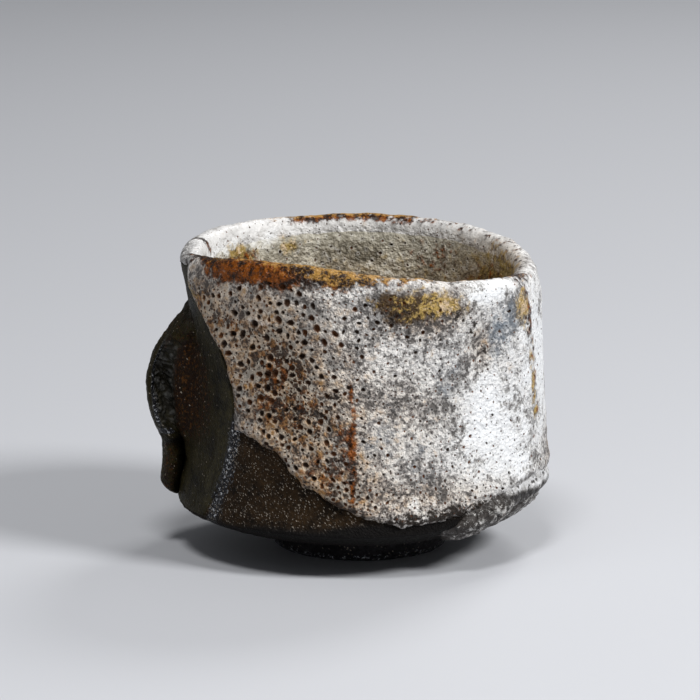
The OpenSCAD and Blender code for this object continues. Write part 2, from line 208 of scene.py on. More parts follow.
@dataclass
class Profile:
    """The clay's outline in each half plane through the axis, read from the packed clay body.

    Each outline runs from the flat inside the foot ring, out under the base, up the wall, over the lip and down
    the inside to the middle of the floor. Places on it are lengths along it, counted from the top of the lip.
    """

    columns: int = 480
    step: float = 0.4
    under_length: float = 72.0
    inside_length: float = 70.0
    gauge_z: float = 48.0
    floor_middle_z: float = 8.0
    under_radii: tuple[float, float] = (11.5, 27.5)
    edge_centre: tuple[float, float] = (28.5, 12.5)
    wall_start_z: float = 17.0
    crown_depth: float = 1.8
    inside_end_z: float = 23.0
    bowl_centre: tuple[float, float] = (17.5, 22.0)
    blur_columns: float = 1.8
    grid: Array = field(init=False)
    tops: Array = field(init=False)
    starts: Array = field(init=False)
    ends: Array = field(init=False)

    def __post_init__(self) -> None:
        """Cast the rays and keep the outlines on an even net."""
        tree = tree_of(["clay_body"])
        turns = np.radians(np.arange(self.columns) * 360 / self.columns)
        net, self.tops, self.starts, self.ends = map(np.array, zip(*(self.outline(tree, turn) for turn in turns)))
        self.grid = self.blurred(net)

    def outline(self, tree: BVHTree, turn: float) -> tuple[Array, float, float, float]:
        """Read one outline.

        Args:
            tree: The clay body.
            turn: Angle of the half plane, in radians.

        Returns:
            Radius and height at even steps along the outline, the height of the lip, and where the outline starts
            and ends.
        """
        out = Vector((math.cos(turn), math.sin(turn), 0))
        up = Vector((0, 0, 1))

        def cast(radius: float, height: float, way_out: float, way_up: float) -> tuple[float, float]:
            """Return radius and height of where a ray in the half plane lands."""
            hit = tree.ray_cast(out * radius + up * height, out * way_out + up * way_up)[0]
            return (hit.dot(out), hit.z)

        def fan(centre: tuple[float, float], first: float, last: float, count: int) -> list[tuple[float, float]]:
            """Cast rays from one place at even turns."""
            turns = np.radians(np.linspace(first, last, count))
            return [cast(centre[0], centre[1], math.cos(a), math.sin(a)) for a in turns]

        middle = (cast(OUTSIDE, self.gauge_z, -1, 0)[0] + cast(0, self.gauge_z, 1, 0)[0]) / 2
        top = cast(middle, OUTSIDE * 2, 0, -1)[1]
        crown = top - self.crown_depth
        line = [cast(r, self.floor_middle_z, 0, -1) for r in np.linspace(*self.under_radii, 16)]
        line += fan(self.edge_centre, -85, 35, 40)
        line += [cast(OUTSIDE, z, -1, 0) for z in np.linspace(self.wall_start_z, crown - 0.5, 44)]
        line += fan((middle, crown), -10, 90, 12)
        lip = len(line) - 1
        line += fan((middle, crown), 98, 190, 11)
        line += [cast(0, z, 1, 0) for z in np.linspace(crown - 0.6, self.inside_end_z, 32)]
        line += fan(self.bowl_centre, 3, -88, 18)
        line += [cast(r, self.bowl_centre[1], 0, -1) for r in np.linspace(self.bowl_centre[0] - 1, 0, 10)]
        points = np.array(line)
        run = np.concatenate([[0], np.cumsum(np.linalg.norm(np.diff(points, axis=0), axis=1))])
        run -= run[lip]
        steps = np.arange(-self.under_length, self.inside_length, self.step)
        return np.column_stack([np.interp(steps, run, points[:, k]) for k in (0, 1)]), top, run[0], run[-1]

    def blurred(self, net: Array) -> Array:
        """Blur the net round the cup, so that the frame's flat faces don't show.

        Args:
            net: The outlines, one after another round the cup.

        Returns:
            The blurred net.
        """
        reach = int(self.blur_columns * 3)
        offsets = np.arange(-reach, reach + 1)
        weights = np.exp(-0.5 * (offsets / self.blur_columns) ** 2)
        weights /= weights.sum()
        return sum(w * np.roll(net, k, axis=0) for k, w in zip(offsets, weights))

    def read(self, angle: Array, run: Array) -> Array:
        """Read the outlines between their points.

        Args:
            angle: Angles.
            run: Lengths along the outline.

        Returns:
            Radius and height at each.
        """
        column = np.asarray(angle) / 360 * self.columns
        row = np.clip((np.asarray(run) + self.under_length) / self.step, 0, self.grid.shape[1] - 1.001)
        i, j = np.floor(column).astype(int), np.floor(row).astype(int)
        u, v = (column - i)[:, None], (row - j)[:, None]
        a, b = self.grid[i % self.columns, j], self.grid[(i + 1) % self.columns, j]
        c, d = self.grid[i % self.columns, j + 1], self.grid[(i + 1) % self.columns, j + 1]
        return a * (1 - u) * (1 - v) + b * u * (1 - v) + c * (1 - u) * v + d * u * v

    def points(self, angle: Array, run: Array) -> Array:
        """Return places in space at each angle and length along the outline."""
        radius, height = self.read(angle, run).T
        turn = np.radians(angle)
        return np.column_stack([radius * np.cos(turn), radius * np.sin(turn), height])

    def normals(self, angle: Array, run: Array) -> Array:
        """Find the way out of the clay.

        Args:
            angle: Angles.
            run: Lengths along the outline.

        Returns:
            The direction at each.
        """
        d_angle, d_run = 1.0, 0.6
        across = self.points(angle + d_angle, run) - self.points(angle - d_angle, run)
        along = self.points(angle, run + d_run) - self.points(angle, run - d_run)
        normal = np.cross(across, along)
        return normal / np.maximum(np.linalg.norm(normal, axis=1, keepdims=True), 1e-9)

    def around(self, values: Array, angle: Array) -> Array:
        """Read values that were kept for each outline, such as the height of the lip, at each angle."""
        places = np.arange(self.columns) * 360 / self.columns
        return np.interp(np.asarray(angle) % 360, places, values, period=360)

    def run_at(self, angle: Array, height: Array) -> Array:
        """Find places on the outside of the wall by their height.

        Args:
            angle: Angles.
            height: Heights.

        Returns:
            The length along the outline at each.
        """
        steps = np.arange(self.grid.shape[1]) * self.step - self.under_length
        outside = steps < -1.5
        result = np.empty(len(angle))
        for k, (a, z) in enumerate(zip(angle, height)):
            column = self.grid[int(round(a / 360 * self.columns)) % self.columns, outside, 1]
            low = int(np.argmin(column[steps[outside] < -30]))
            result[k] = np.interp(z, column[low:], steps[outside][low:])
        return result


def make_mesh(name: str, points: Array, faces: Sequence[Sequence[int]], normals: Array | None = None,
              **layers: Array) -> bpy.types.Object:
    """Make a smooth mesh object.

    Args:
        name: Name of the piece.
        points: Its places, in millimetres.
        faces: Lists of point numbers.
        normals: Shading normal of each point, where the mesh's own aren't wanted.
        **layers: A value at each point for the materials to read, by name.

    Returns:
        The object, linked to the scene.
    """
    mesh = bpy.data.meshes.new(name)
    mesh.from_pydata((points * MM).tolist(), [], [list(map(int, face)) for face in faces])
    mesh.shade_smooth()
    for layer, values in layers.items():
        mesh.attributes.new(layer, "FLOAT", "POINT").data.foreach_set("value", np.asarray(values, dtype=np.float32))
    if normals is not None:
        mesh.normals_split_custom_set_from_vertices(normals.tolist())
    piece = bpy.data.objects.new(name, mesh)
    bpy.context.scene.collection.objects.link(piece)
    return piece


def vertex_normals(points: Array, faces: Array) -> Array:
    """Average the normals of the triangles round each point.

    Args:
        points: The points.
        faces: Three point numbers for each triangle.

    Returns:
        The normals.
    """
    a, b, c = (points[faces[:, k]] for k in range(3))
    face = np.cross(b - a, c - a)
    total = np.zeros_like(points)
    for k in range(3):
        np.add.at(total, faces[:, k], face)
    return total / np.maximum(np.linalg.norm(total, axis=1, keepdims=True), 1e-12)


def grid_faces(rows: int, columns: int, first: int = 0, closed: bool = False) -> list[tuple[int, int, int, int]]:
    """Number the quads of a net of points.

    Args:
        rows: Rows of points.
        columns: Points in a row.
        first: Number of the first point.
        closed: Whether each row joins its end to its start.

    Returns:
        The quads.
    """
    width = columns if closed else columns - 1
    return [
        (first + j * columns + i, first + j * columns + (i + 1) % columns,
         first + (j + 1) * columns + (i + 1) % columns, first + (j + 1) * columns + i)
        for j in range(rows - 1) for i in range(width)
    ]


@dataclass(frozen=True)
class Spot:
    """A soft-edged patch of colour: its middle, and its half widths round the cup and up the wall."""

    angle: float
    height: float
    wide: float
    high: float
    amount: float = 1.0
    lean: float = 0.0

    def read(self, angle: Array, height: Array) -> Array:
        """Read the patch.

        Args:
            angle: Angle of each place.
            height: Height of each place.

        Returns:
            How strong it is there, from 0 to its amount.
        """
        x = np.radians(turn_gap(angle, self.angle)) * UNROLL
        y = height - self.height
        c, s = math.cos(math.radians(self.lean)), math.sin(math.radians(self.lean))
        return self.amount * np.exp(-((x * c + y * s) / self.wide) ** 2 - ((y * c - x * s) / self.high) ** 2)


@dataclass(frozen=True)
class Streak:
    """A soft-edged line of colour through places given by angle and height."""

    places: Pairs
    wide: float
    amount: float = 1.0

    def read(self, angle: Array, height: Array) -> Array:
        """Read the line.

        Args:
            angle: Angle of each place.
            height: Height of each place.

        Returns:
            How strong it is there, from 0 to its amount.
        """
        first = self.places[0][0]
        x, y = np.radians(turn_gap(angle, first)) * UNROLL, np.asarray(height)
        nearest = np.full(len(x), 1e9)
        for (a, z), (b, w) in zip(self.places, self.places[1:]):
            start = np.array([math.radians(float(turn_gap(a, first))) * UNROLL, z])
            way = np.array([math.radians(float(turn_gap(b, first))) * UNROLL, w]) - start
            part = np.clip(((x - start[0]) * way[0] + (y - start[1]) * way[1]) / (way @ way), 0, 1)
            nearest = np.minimum(nearest, np.hypot(x - start[0] - part * way[0], y - start[1] - part * way[1]))
        return self.amount * np.exp(-(nearest / self.wide) ** 2)


def paint(marks: Sequence[Spot | Streak], angle: Array, height: Array) -> Array:
    """Lay marks over each other.

    Args:
        marks: The spots and streaks.
        angle: Angle of each place.
        height: Height of each place.

    Returns:
        How much of the colour lies at each place, from 0 to 1.
    """
    left = np.ones(len(angle))
    for mark in marks:
        left *= 1 - np.clip(mark.read(angle, height), 0, 1)
    return 1 - left


@dataclass(frozen=True)
class PitZone:
    """Pits of one kind: where they are, their radii and the clear gap between them."""

    angle: float
    height: float
    half_angle: float
    half_height: float
    small: float
    large: float
    gap: float

    def weight(self, angle: Array, height: Array) -> Array:
        """Return how much each place belongs to the zone."""
        return np.exp(-(turn_gap(angle, self.angle) / self.half_angle) ** 2
                      - ((height - self.height) / self.half_height) ** 2)


@dataclass
class Pits:
    """Burst bubbles of the glaze, in the flat drawing of a coat, and the points that their meshes need."""

    rings: tuple[float, ...] = (0.0, 0.6, 0.95, 1.3)
    depths: tuple[float, ...] = (1.0, 0.86, 0.14, -0.12)
    darks: tuple[float, ...] = (1.0, 0.95, 0.5, 0.0)
    rim_highlights: tuple[float, ...] = (0.0, 0.0, 0.5, 1.0)

    def sow(self, rng: np.random.Generator, places: Array, sizes: Array, gaps: Array) -> Array:
        """Choose the places that hold a pit.

        Args:
            rng: Source of chance.
            places: Places to try.
            sizes: Radius of a pit at each place.
            gaps: Clear gap round a pit at each place.

        Returns:
            Numbers of the chosen places.
        """
        cell = 2.4
        order = np.argsort(rng.uniform(0, 1, len(sizes)) - 0.7 * sizes)
        filled: dict[tuple[int, int], list[int]] = {}
        chosen = []
        keys = np.floor(places / cell).astype(int)
        for k in order:
            i, j = keys[k]
            near = (n for a in (-1, 0, 1) for b in (-1, 0, 1) for n in filled.get((i + a, j + b), ()))
            if all(math.dist(places[k], places[n]) > sizes[k] + sizes[n] + min(gaps[k], gaps[n]) for n in near):
                filled.setdefault((i, j), []).append(k)
                chosen.append(k)
        return np.array(chosen)

    def points(self, rng: np.random.Generator, middles: Array, sizes: Array, squeeze: Array,
               thick: Array) -> tuple[Array, Array]:
        """Lay rings of points round each pit.

        Args:
            rng: Source of chance.
            middles: Middles of the pits.
            sizes: Their radii.
            squeeze: How much the drawing stretches the first direction there.
            thick: Thickness of the coat there.

        Returns:
            The points, and for each its depth, darkness, nearness to the rim where a highlight is painted, and rust.
        """
        laid, facts = [], []
        for (x, y), size, wide, coat in zip(middles, sizes, squeeze, thick):
            count = 12 if size > 0.5 else 9 if size > 0.33 else 6
            stretch, turn, rust = rng.uniform(0.62, 1.0), rng.uniform(0, math.pi), rng.uniform()
            deep = min(coat * 0.8, size * rng.uniform(0.75, 1.15))
            wobble = rng.uniform(0.8, 1.18, count)
            for ring, depth, dark, rim in zip(self.rings, self.depths, self.darks, self.rim_highlights):
                if ring == 0:
                    laid.append((x, y))
                    facts.append((deep, 1.0, 0.0, rust))
                    continue
                if size < 0.33 and ring == 0.6:
                    continue
                turns = np.arange(count) * 2 * math.pi / count + turn + ring
                a, b = np.cos(turns) * size * ring * wobble, np.sin(turns) * size * ring * wobble * stretch
                c, s = math.cos(turn), math.sin(turn)
                laid.extend(zip(x + (a * c - b * s) * wide, y + a * s + b * c))
                lift = deep * depth if depth > 0 else depth * min(size, 0.7)
                facts.extend([(lift, dark, rim, rust)] * count)
        return np.array(laid).reshape(-1, 2), np.array(facts).reshape(-1, 4)


def resample(line: Array, step: float) -> Array:
    """Space the points of a line evenly and keep its ends.

    Args:
        line: Points along the line.
        step: Distance between the new points.

    Returns:
        The new points.
    """
    run = np.concatenate([[0], np.cumsum(np.linalg.norm(np.diff(line, axis=0), axis=1))])
    places = np.linspace(0, run[-1], max(2, int(round(run[-1] / step)) + 1))
    return np.column_stack([np.interp(places, run, line[:, k]) for k in (0, 1)])


def hexes(low: Array, high: Array, step: float, rng: np.random.Generator) -> Array:
    """Fill a box with a slightly shaken net of triangles.

    Args:
        low: The box's lower corner.
        high: Its upper corner.
        step: Side of a triangle.
        rng: Source of chance.

    Returns:
        The net's points.
    """
    rows = np.arange(low[1], high[1], step * 0.866)
    net = [(x + (k % 2) * step / 2, y) for k, y in enumerate(rows) for x in np.arange(low[0], high[0], step)]
    return np.array(net) + rng.uniform(-0.13, 0.13, (len(net), 2)) * step


def flat_tree(points: Array) -> KDTree:
    """Make a tree that finds the nearest of some points in the drawing.

    Args:
        points: The points.

    Returns:
        The tree.
    """
    tree = KDTree(len(points))
    for k, (x, y) in enumerate(points):
        tree.insert((x, y, 0), k)
    tree.balance()
    return tree


def distance(points: Array, others: Array) -> Array:
    """Return how far each point in the drawing lies from the nearest of the others."""
    tree = flat_tree(others)
    return np.array([tree.find((x, y, 0))[2] for x, y in points])


def mesh_loops(points: Array, count: int) -> Array:
    """Fill the area within a closed loop with triangles.

    Args:
        points: Points of the drawing, those along the loop first.
        count: How many points the loop has.

    Returns:
        Three point numbers for each triangle.
    """
    edges = [(k, (k + 1) % count) for k in range(count)]
    _, _, faces, origins, _, _ = delaunay_2d_cdt([Vector(p) for p in points.tolist()], edges, [], 1, 1e-6)
    source = [origin[0] if origin else -1 for origin in origins]
    return np.array([[source[k] for k in face] for face in faces if all(source[k] >= 0 for k in face)])


@dataclass
class Sheet:
    """One closed coat: its points, faces and shading normals, and what is known of each point.

    Points on the back and the sides have no place in the drawing, and zeros there.
    """

    points: Array
    faces: list[tuple[int, ...]]
    shade: Array
    across: Array
    run: Array
    pits: dict[str, Array]


@dataclass
class Glaze:
    """The melted glaze: outside, over the lip and inside, cut where its colour and thickness change."""

    profile: Profile
    outer_thick: float = 1.1
    lip_thick: float = 0.5
    inner_thick: float = 0.8
    edge_width: float = 1.3
    seam_run: float = 3.6
    seam_wander: float = 0.55
    bowl_run: float = 41.0
    border_step: float = 0.45
    outer_step: float = 0.68
    lip_step: float = 0.55
    inner_step: float = 1.0
    floor_step: float = 1.0
    back_step: float = 3.2
    backing: float = -0.15
    sunk: float = 0.05
    low_run: float = -46.0
    lip_reach: float = 4.8
    seam_reach: float = 2.6
    tries: int = 34000
    zones: tuple[PitZone, ...] = (
        PitZone(236, 44, 20, 9, 0.17, 0.82, 0.19),
        PitZone(248, 28, 17, 10, 0.17, 0.58, 0.15),
        PitZone(260, 16, 12, 6, 0.17, 0.56, 0.12),
        PitZone(308, 14.5, 12, 3.4, 0.18, 0.42, 0.22),
        PitZone(290, 32, 20, 13, 0.17, 0.36, 0.85),
        PitZone(288, 17, 14, 5, 0.17, 0.36, 0.40),
        PitZone(284, 49, 6, 3, 0.24, 0.62, 0.24),
        PitZone(322, 30, 20, 16, 0.16, 0.34, 1.15),
        PitZone(350, 26, 16, 16, 0.17, 0.42, 0.90),
        PitZone(32, 34, 24, 14, 0.20, 0.66, 0.42),
        PitZone(52, 18, 26, 6, 0.20, 0.52, 0.24),
        PitZone(84, 32, 22, 16, 0.17, 0.42, 0.80),
        PitZone(122, 34, 18, 14, 0.20, 0.82, 0.38),
        PitZone(120, 20, 26, 5, 0.20, 0.50, 0.20),
    )
    inner_zone: tuple[float, float, float] = (0.16, 0.36, 1.3)
    lip_zone: tuple[float, float, float] = (0.14, 0.26, 1.1)

    def __post_init__(self) -> None:
        """Set out the coat's border and seams."""
        self.rng = np.random.default_rng(29)
        self.lower = self.lower_border()
        across = np.arange(0, ROUND, 0.5)
        self.seams = {
            side: np.column_stack([across, side * (self.seam_run + self.seam_wander * self.wander(across, side))])
            for side in (-1, 1)
        }

    def wander(self, across: Array, seed: float, size: float = 5.0) -> Array:
        """Read noise that meets itself at the cut.

        Args:
            across: Places along the drawing.
            seed: Which noise to read.
            size: Width of its lumps.

        Returns:
            A value from about -1 to 1 at each place.
        """
        turn = across / UNROLL
        ring = np.column_stack([np.cos(turn) * UNROLL, np.sin(turn) * UNROLL, np.full(len(turn), seed * 50.0)])
        return GRAIN.layers(ring, size)

    def lower_border(self) -> Array:
        """Find the coat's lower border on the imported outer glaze, and make it ragged.

        Returns:
            Points along it in the drawing.
        """
        tree = tree_of(["outer_glaze"])
        line = []
        for angle in np.arange(CUT, CUT + 360, 0.5):
            for height in np.arange(9.0, 51.0, 0.25):
                if meets(tree, angle, height):
                    line.append((angle, height))
                    break
        angles, heights = np.array(line).T
        top = -self.seam_run
        line = np.column_stack([across_of(angles), self.profile.run_at(angles, heights)])
        line = np.vstack([[line[0, 0] - 0.4, top], line, [line[-1, 0] + 0.4, top]])
        line = resample(line, self.border_step)
        way = np.gradient(line, axis=0)
        way /= np.linalg.norm(way, axis=1, keepdims=True)
        side = np.column_stack([-way[:, 1], way[:, 0]])
        ring = np.column_stack([line, np.zeros(len(line))])
        ragged = 0.45 * GRAIN(ring, 3.4) + 0.25 * GRAIN(ring + 40, 1.4)
        ragged *= smooth(np.arange(len(line)), 0, 6) * smooth(np.arange(len(line))[::-1], 0, 6)
        return line + side * ragged[:, None]

    def thickness(self, run: Array) -> Array:
        """Read the coat's full thickness.

        Args:
            run: Lengths along the outline.

        Returns:
            The thickness at each.
        """
        outside = self.lip_thick + (self.outer_thick - self.lip_thick) * smooth(-run, 1.5, 6.5)
        inside = self.lip_thick + (self.inner_thick - self.lip_thick) * smooth(run, 1.5, 6.5)
        return np.where(run < 0, outside, inside)

    def pit_sizes(self, angle: Array, height: Array, run: Array) -> tuple[Array, Array]:
        """Choose how large pits would be, and how far apart.

        Args:
            angle: Angle of each place.
            height: Its height.
            run: Its length along the outline.

        Returns:
            The radius of a pit at each place, and the gap round it.
        """
        chance = self.rng.uniform(0, 1, len(angle)) ** 3.0
        weight = np.full(len(angle), 0.06)
        total = np.column_stack([np.full(len(angle), value * 0.06) for value in (0.18, 0.45, 0.7)])
        for zone in self.zones:
            here = zone.weight(angle, height)
            weight += here
            total += here[:, None] * np.array([zone.small, zone.large, zone.gap])
        small, large, gap = (total / weight[:, None]).T
        for value, low, high in ((self.lip_zone, -4.4, 5.0), (self.inner_zone, 5.0, 99.0)):
            inside = (run > low) & (run <= high)
            small, large, gap = (np.where(inside, v, w) for v, w in zip(value, (small, large, gap)))
        return small + (large - small) * chance, gap

    def face_height(self, across: Array, run: Array, depth: Array, free: Array) -> Array:
        """Return the height of the coat's face over the clay.

        Args:
            across: First direction of the drawing.
            run: Length along the outline.
            depth: Depth of the pits there.
            free: Distance from the coat's free border.

        Returns:
            The heights.
        """
        place = self.profile.points(angle_of(across), run)
        rise = np.sqrt(np.clip(1 - (1 - np.clip(free / self.edge_width, 0, 1)) ** 2, 0, 1))
        bead = 1 + 0.22 * bell(free, 1.6, 1.2)
        lumps = 0.18 * GRAIN.layers(place, 4.5) + 0.17 * GRAIN(place + 9, 1.7)
        return (self.thickness(run) * bead + lumps * smooth(free, 0, 2.5)) * rise - depth * rise - self.sunk

    def build(self) -> dict[str, Sheet]:
        """Mesh the three coats.

        Returns:
            The closed coats, by node.
        """
        rng, profile = self.rng, self.profile
        low, high = self.seams[-1], self.seams[1]
        lower = self.lower
        begins, ends = lower[0, 0], lower[-1, 0]
        inside = (low[:, 0] > begins + 0.25) & (low[:, 0] < ends - 0.25)
        lower[0, 1] = np.interp(begins, *low.T)
        lower[-1, 1] = np.interp(ends, *low.T)
        before, after = low[low[:, 0] < begins - 0.2], low[low[:, 0] > ends + 0.2]
        low = np.vstack([before, lower[:1], low[inside], lower[-1:], after])
        first, last = (int(np.argmin(np.abs(low[:, 0] - x))) for x in (begins, ends))
        low, high = (np.vstack([line, line[:1] + [ROUND, 0]]) for line in (low, high))
        bowl = np.column_stack([high[::2, 0], np.full(len(high[::2]), self.bowl_run)])
        bowl[-1, 0] = ROUND
        cut_lip = resample(np.array([low[0], high[0]]), 0.6)[1:-1]
        cut_bowl = resample(np.array([high[0], bowl[0]]), self.inner_step)[1:-1]
        free = np.vstack([lower, low[:first + 1], low[last:]])

        across = rng.uniform(0, ROUND, self.tries)
        run = rng.uniform(self.low_run, self.bowl_run, self.tries)
        angle = angle_of(across)
        sizes, gaps = self.pit_sizes(angle, profile.read(angle, run)[:, 1], run)
        cuts = [cut_lip, cut_bowl, cut_lip + [ROUND, 0], cut_bowl + [ROUND, 0]]
        lines = np.vstack([free, low, high, bowl, *cuts])
        pits = Pits()
        reach = pits.rings[-1]
        fits = distance(np.column_stack([across, run]), lines) > sizes * reach + 0.3
        fits &= run > np.interp(across, lower[:, 0], lower[:, 1], left=-4, right=-4) + 0.6
        across, run, sizes, gaps = across[fits], run[fits], sizes[fits], gaps[fits]
        chosen = pits.sow(rng, np.column_stack([across, run]), sizes, gaps)
        across, run, sizes = across[chosen], run[chosen], sizes[chosen]
        radius = profile.read(angle_of(across), run)[:, 0]
        middles = np.column_stack([across, run])
        rings, facts = pits.points(rng, middles, sizes, UNROLL / radius, self.thickness(run))
        LOG.info("glaze: %d pits", len(sizes))
        taken = flat_tree(middles)

        def filler(low_run: float, high_run: float, step: float) -> Array:
            """Return the points of a net that keep clear of the lines and the pits."""
            net = hexes(np.array([0, low_run]), np.array([ROUND, high_run]), step, rng)
            net = net[distance(net, lines) > step * 0.5]
            clear = [all(gap > sizes[k] * reach + step * 0.42 for _, k, gap in taken.find_range((x, y, 0), 1.9))
                     for x, y in net]
            return net[clear]

        areas = {
            "outer_glaze": filler(self.low_run - 1, -self.seam_reach, self.outer_step),
            "lip_glaze": filler(-self.lip_reach, self.lip_reach, self.lip_step),
            "inner_glaze": filler(self.seam_reach, self.bowl_run, self.inner_step),
        }
        everything = [low, high, bowl, lower[1:-1], *cuts]
        starts = np.cumsum([0] + [len(part) for part in everything])
        spans = [list(range(a, b)) for a, b in zip(starts, starts[1:])]
        lows, highs, bowls, lowers, lip_a, bowl_a, lip_b, bowl_b = spans
        borders = np.vstack(everything)
        loops = {
            "outer_glaze": [lows[first]] + lowers + [lows[last]] + lows[first + 1:last][::-1],
            "lip_glaze": lows + lip_b + highs[::-1] + lip_a[::-1],
            "inner_glaze": highs + bowl_b + bowls[::-1] + bowl_a[::-1],
        }
        same = np.arange(starts[-1])
        for chain in (lows, highs, bowls):
            same[chain[-1]] = chain[0]
        same[lip_b], same[bowl_b] = lip_a, bowl_a

        inner_rows = {
            "outer_glaze": np.vstack([self.beside(lower, d) for d in (0.16, 0.4)]),
            "lip_glaze": np.zeros((0, 2)), "inner_glaze": np.zeros((0, 2)),
        }
        points, facts_all, faces = [borders], [np.zeros((len(borders), 4))], {}
        count = len(borders)
        for name, loop in loops.items():
            body = np.vstack([areas[name], inner_rows[name], rings])
            body_facts = np.vstack([np.zeros((len(areas[name]) + len(inner_rows[name]), 4)), facts])
            numbers = np.concatenate([loop, np.arange(count, count + len(body))]).astype(int)
            flat = np.vstack([borders[loop], body])
            faces[name] = numbers[mesh_loops(flat, len(loop))]
            points.append(body)
            facts_all.append(body_facts)
            count += len(body)
        flat, facts = np.vstack(points), np.vstack(facts_all)
        heights = self.face_height(flat[:, 0], flat[:, 1], facts[:, 0], distance(flat, free))
        angle = angle_of(flat[:, 0])
        base, normal = profile.points(angle, flat[:, 1]), profile.normals(angle, flat[:, 1])
        solid = base + normal * heights[:, None]

        disc, disc_flat, disc_faces = self.bowl_floor(solid[bowls[:-1]][:, :2])
        same = np.concatenate([same, np.arange(starts[-1], count)])
        numbers = np.concatenate([np.array(bowls[:-1]), np.arange(count, count + len(disc))])
        faces = {name: same[face] for name, face in faces.items()}
        faces["inner_glaze"] = np.vstack([faces["inner_glaze"], numbers[disc_faces]])
        flat, facts = np.vstack([flat, disc_flat]), np.vstack([facts, np.zeros((len(disc), 4))])
        solid = np.vstack([solid, disc])
        normals = vertex_normals(solid, np.vstack(list(faces.values())))
        return {name: self.shell(face, flat, facts, solid, normals, borders[loops[name]], same[loops[name]])
                for name, face in faces.items()}

    def beside(self, line: Array, step: float) -> Array:
        """Lay a row of points beside a line, on the coat's side of it.

        Args:
            line: Points along the line.
            step: Distance from it.

        Returns:
            The row.
        """
        way = np.gradient(line, axis=0)
        way /= np.linalg.norm(way, axis=1, keepdims=True)
        return (line + np.column_stack([-way[:, 1], way[:, 0]]) * step)[3:-3]

    def bowl_floor(self, edge: Array) -> tuple[Array, Array, Array]:
        """Mesh the floor of the bowl in plan.

        Args:
            edge: Places in plan of the points round the floor.

        Returns:
            New points in space, the same in the drawing, and triangles that count the edge's points first.
        """
        radii = np.linalg.norm(edge, axis=1)
        corner = np.full(2, radii.max())
        net = hexes(-corner, corner, self.floor_step, self.rng)
        turn = np.arctan2(net[:, 1], net[:, 0])
        edge_turn = np.arctan2(edge[:, 1], edge[:, 0])
        order = np.argsort(edge_turn)
        limit = np.interp(turn, edge_turn[order], radii[order], period=2 * math.pi)
        net = net[np.hypot(*net.T) < limit - self.floor_step * 0.6]
        angle = np.degrees(np.arctan2(net[:, 1], net[:, 0])) % 360
        angle = np.where(angle < CUT, angle + 360, angle)
        runs = np.linspace(self.bowl_run - 2, self.profile.inside_length - 1, 90)
        rows = np.column_stack([self.profile.read(angle, np.full(len(angle), run))[:, 0] for run in runs])
        want = np.hypot(*net.T)
        run = np.array([np.interp(-r, -row, runs) for r, row in zip(want, rows)])
        height = self.profile.read(angle, run)[:, 1]
        place = np.column_stack([net, height])
        rise = self.thickness(run) - self.sunk + 0.16 * GRAIN.layers(place, 4.5) + 0.06 * GRAIN(place + 9, 1.3)
        normal = self.profile.normals(angle, run)
        near = smooth(want, 3, 8)[:, None]
        normal = normal * near + np.array([0, 0, 1]) * (1 - near)
        plan = np.vstack([edge, net])
        faces = mesh_loops(plan, len(edge))
        turned = np.cross(*(plan[faces[:, k]] - plan[faces[:, 0]] for k in (1, 2)))
        faces = np.where((turned < 0)[:, None], faces[:, ::-1], faces)
        return place + normal * rise[:, None], np.column_stack([across_of(angle), run]), faces

    def shell(self, faces: Array, flat: Array, facts: Array, solid: Array, normals: Array, line: Array,
              ends: Array) -> Sheet:
        """Close one coat with side walls and a back that lies just inside the clay.

        Args:
            faces: Triangles of its front.
            flat: Points of the drawing.
            facts: What the pits say at each point.
            solid: The same points in space.
            normals: Shading normals of the fronts.
            line: The coat's border in the drawing.
            ends: Numbers of the points along that border, those on the cut under one number.

        Returns:
            The closed coat.
        """
        used, front = np.unique(faces, return_inverse=True)
        front = front.reshape(faces.shape)
        net = hexes(line.min(axis=0), line.max(axis=0), self.back_step, self.rng)
        net = net[distance(net, line) > self.back_step * 0.5]
        back = np.vstack([line, net])
        numbers = np.arange(len(back))
        seen: dict[int, int] = {}
        for k, number in enumerate(ends.tolist()):
            numbers[k] = seen.setdefault(number, k)
        angle = angle_of(back[:, 0])
        out = self.profile.normals(angle, back[:, 1])
        behind = self.profile.points(angle, back[:, 1]) + out * self.backing
        back_faces = numbers[mesh_loops(back, len(line))]
        way = vertex_normals(behind, back_faces)
        if np.einsum("ij,ij->i", way, out).sum() > 0:
            back_faces, way = back_faces[:, ::-1], -way

        edges = dict.fromkeys((face[k], face[(k + 1) % 3]) for face in faces.tolist() for k in range(3))
        open_edges = [(a, b) for a, b in edges if (b, a) not in edges and a in seen and b in seen]
        sides = np.array([(solid[a], solid[b], behind[seen[b]], behind[seen[a]]) for a, b in open_edges])
        flat_way = np.cross(sides[:, 0] - sides[:, 1], sides[:, 2] - sides[:, 1])
        flat_way /= np.maximum(np.linalg.norm(flat_way, axis=1, keepdims=True), 1e-9)
        first = len(used) + len(behind)
        side_faces = [(k + 1, k, k + 3, k + 2) for k in range(first, first + 4 * len(sides), 4)]

        points = np.vstack([solid[used], behind, sides.reshape(-1, 3)])
        shade = np.vstack([normals[used], way, np.repeat(-flat_way, 4, axis=0)])
        every = [tuple(face) for face in front] + [tuple(face + len(used)) for face in back_faces] + side_faces
        known = np.zeros((len(points), 5))
        known[:len(used)] = np.column_stack([flat[used], facts[used, 1:]])
        across, run, *pits = known.T
        return Sheet(points, every, shade, across, run, dict(zip(("pit", "rim", "rust"), pits)))


Colour = tuple[float, float, float, float]
Value = bpy.types.NodeSocket | float | tuple


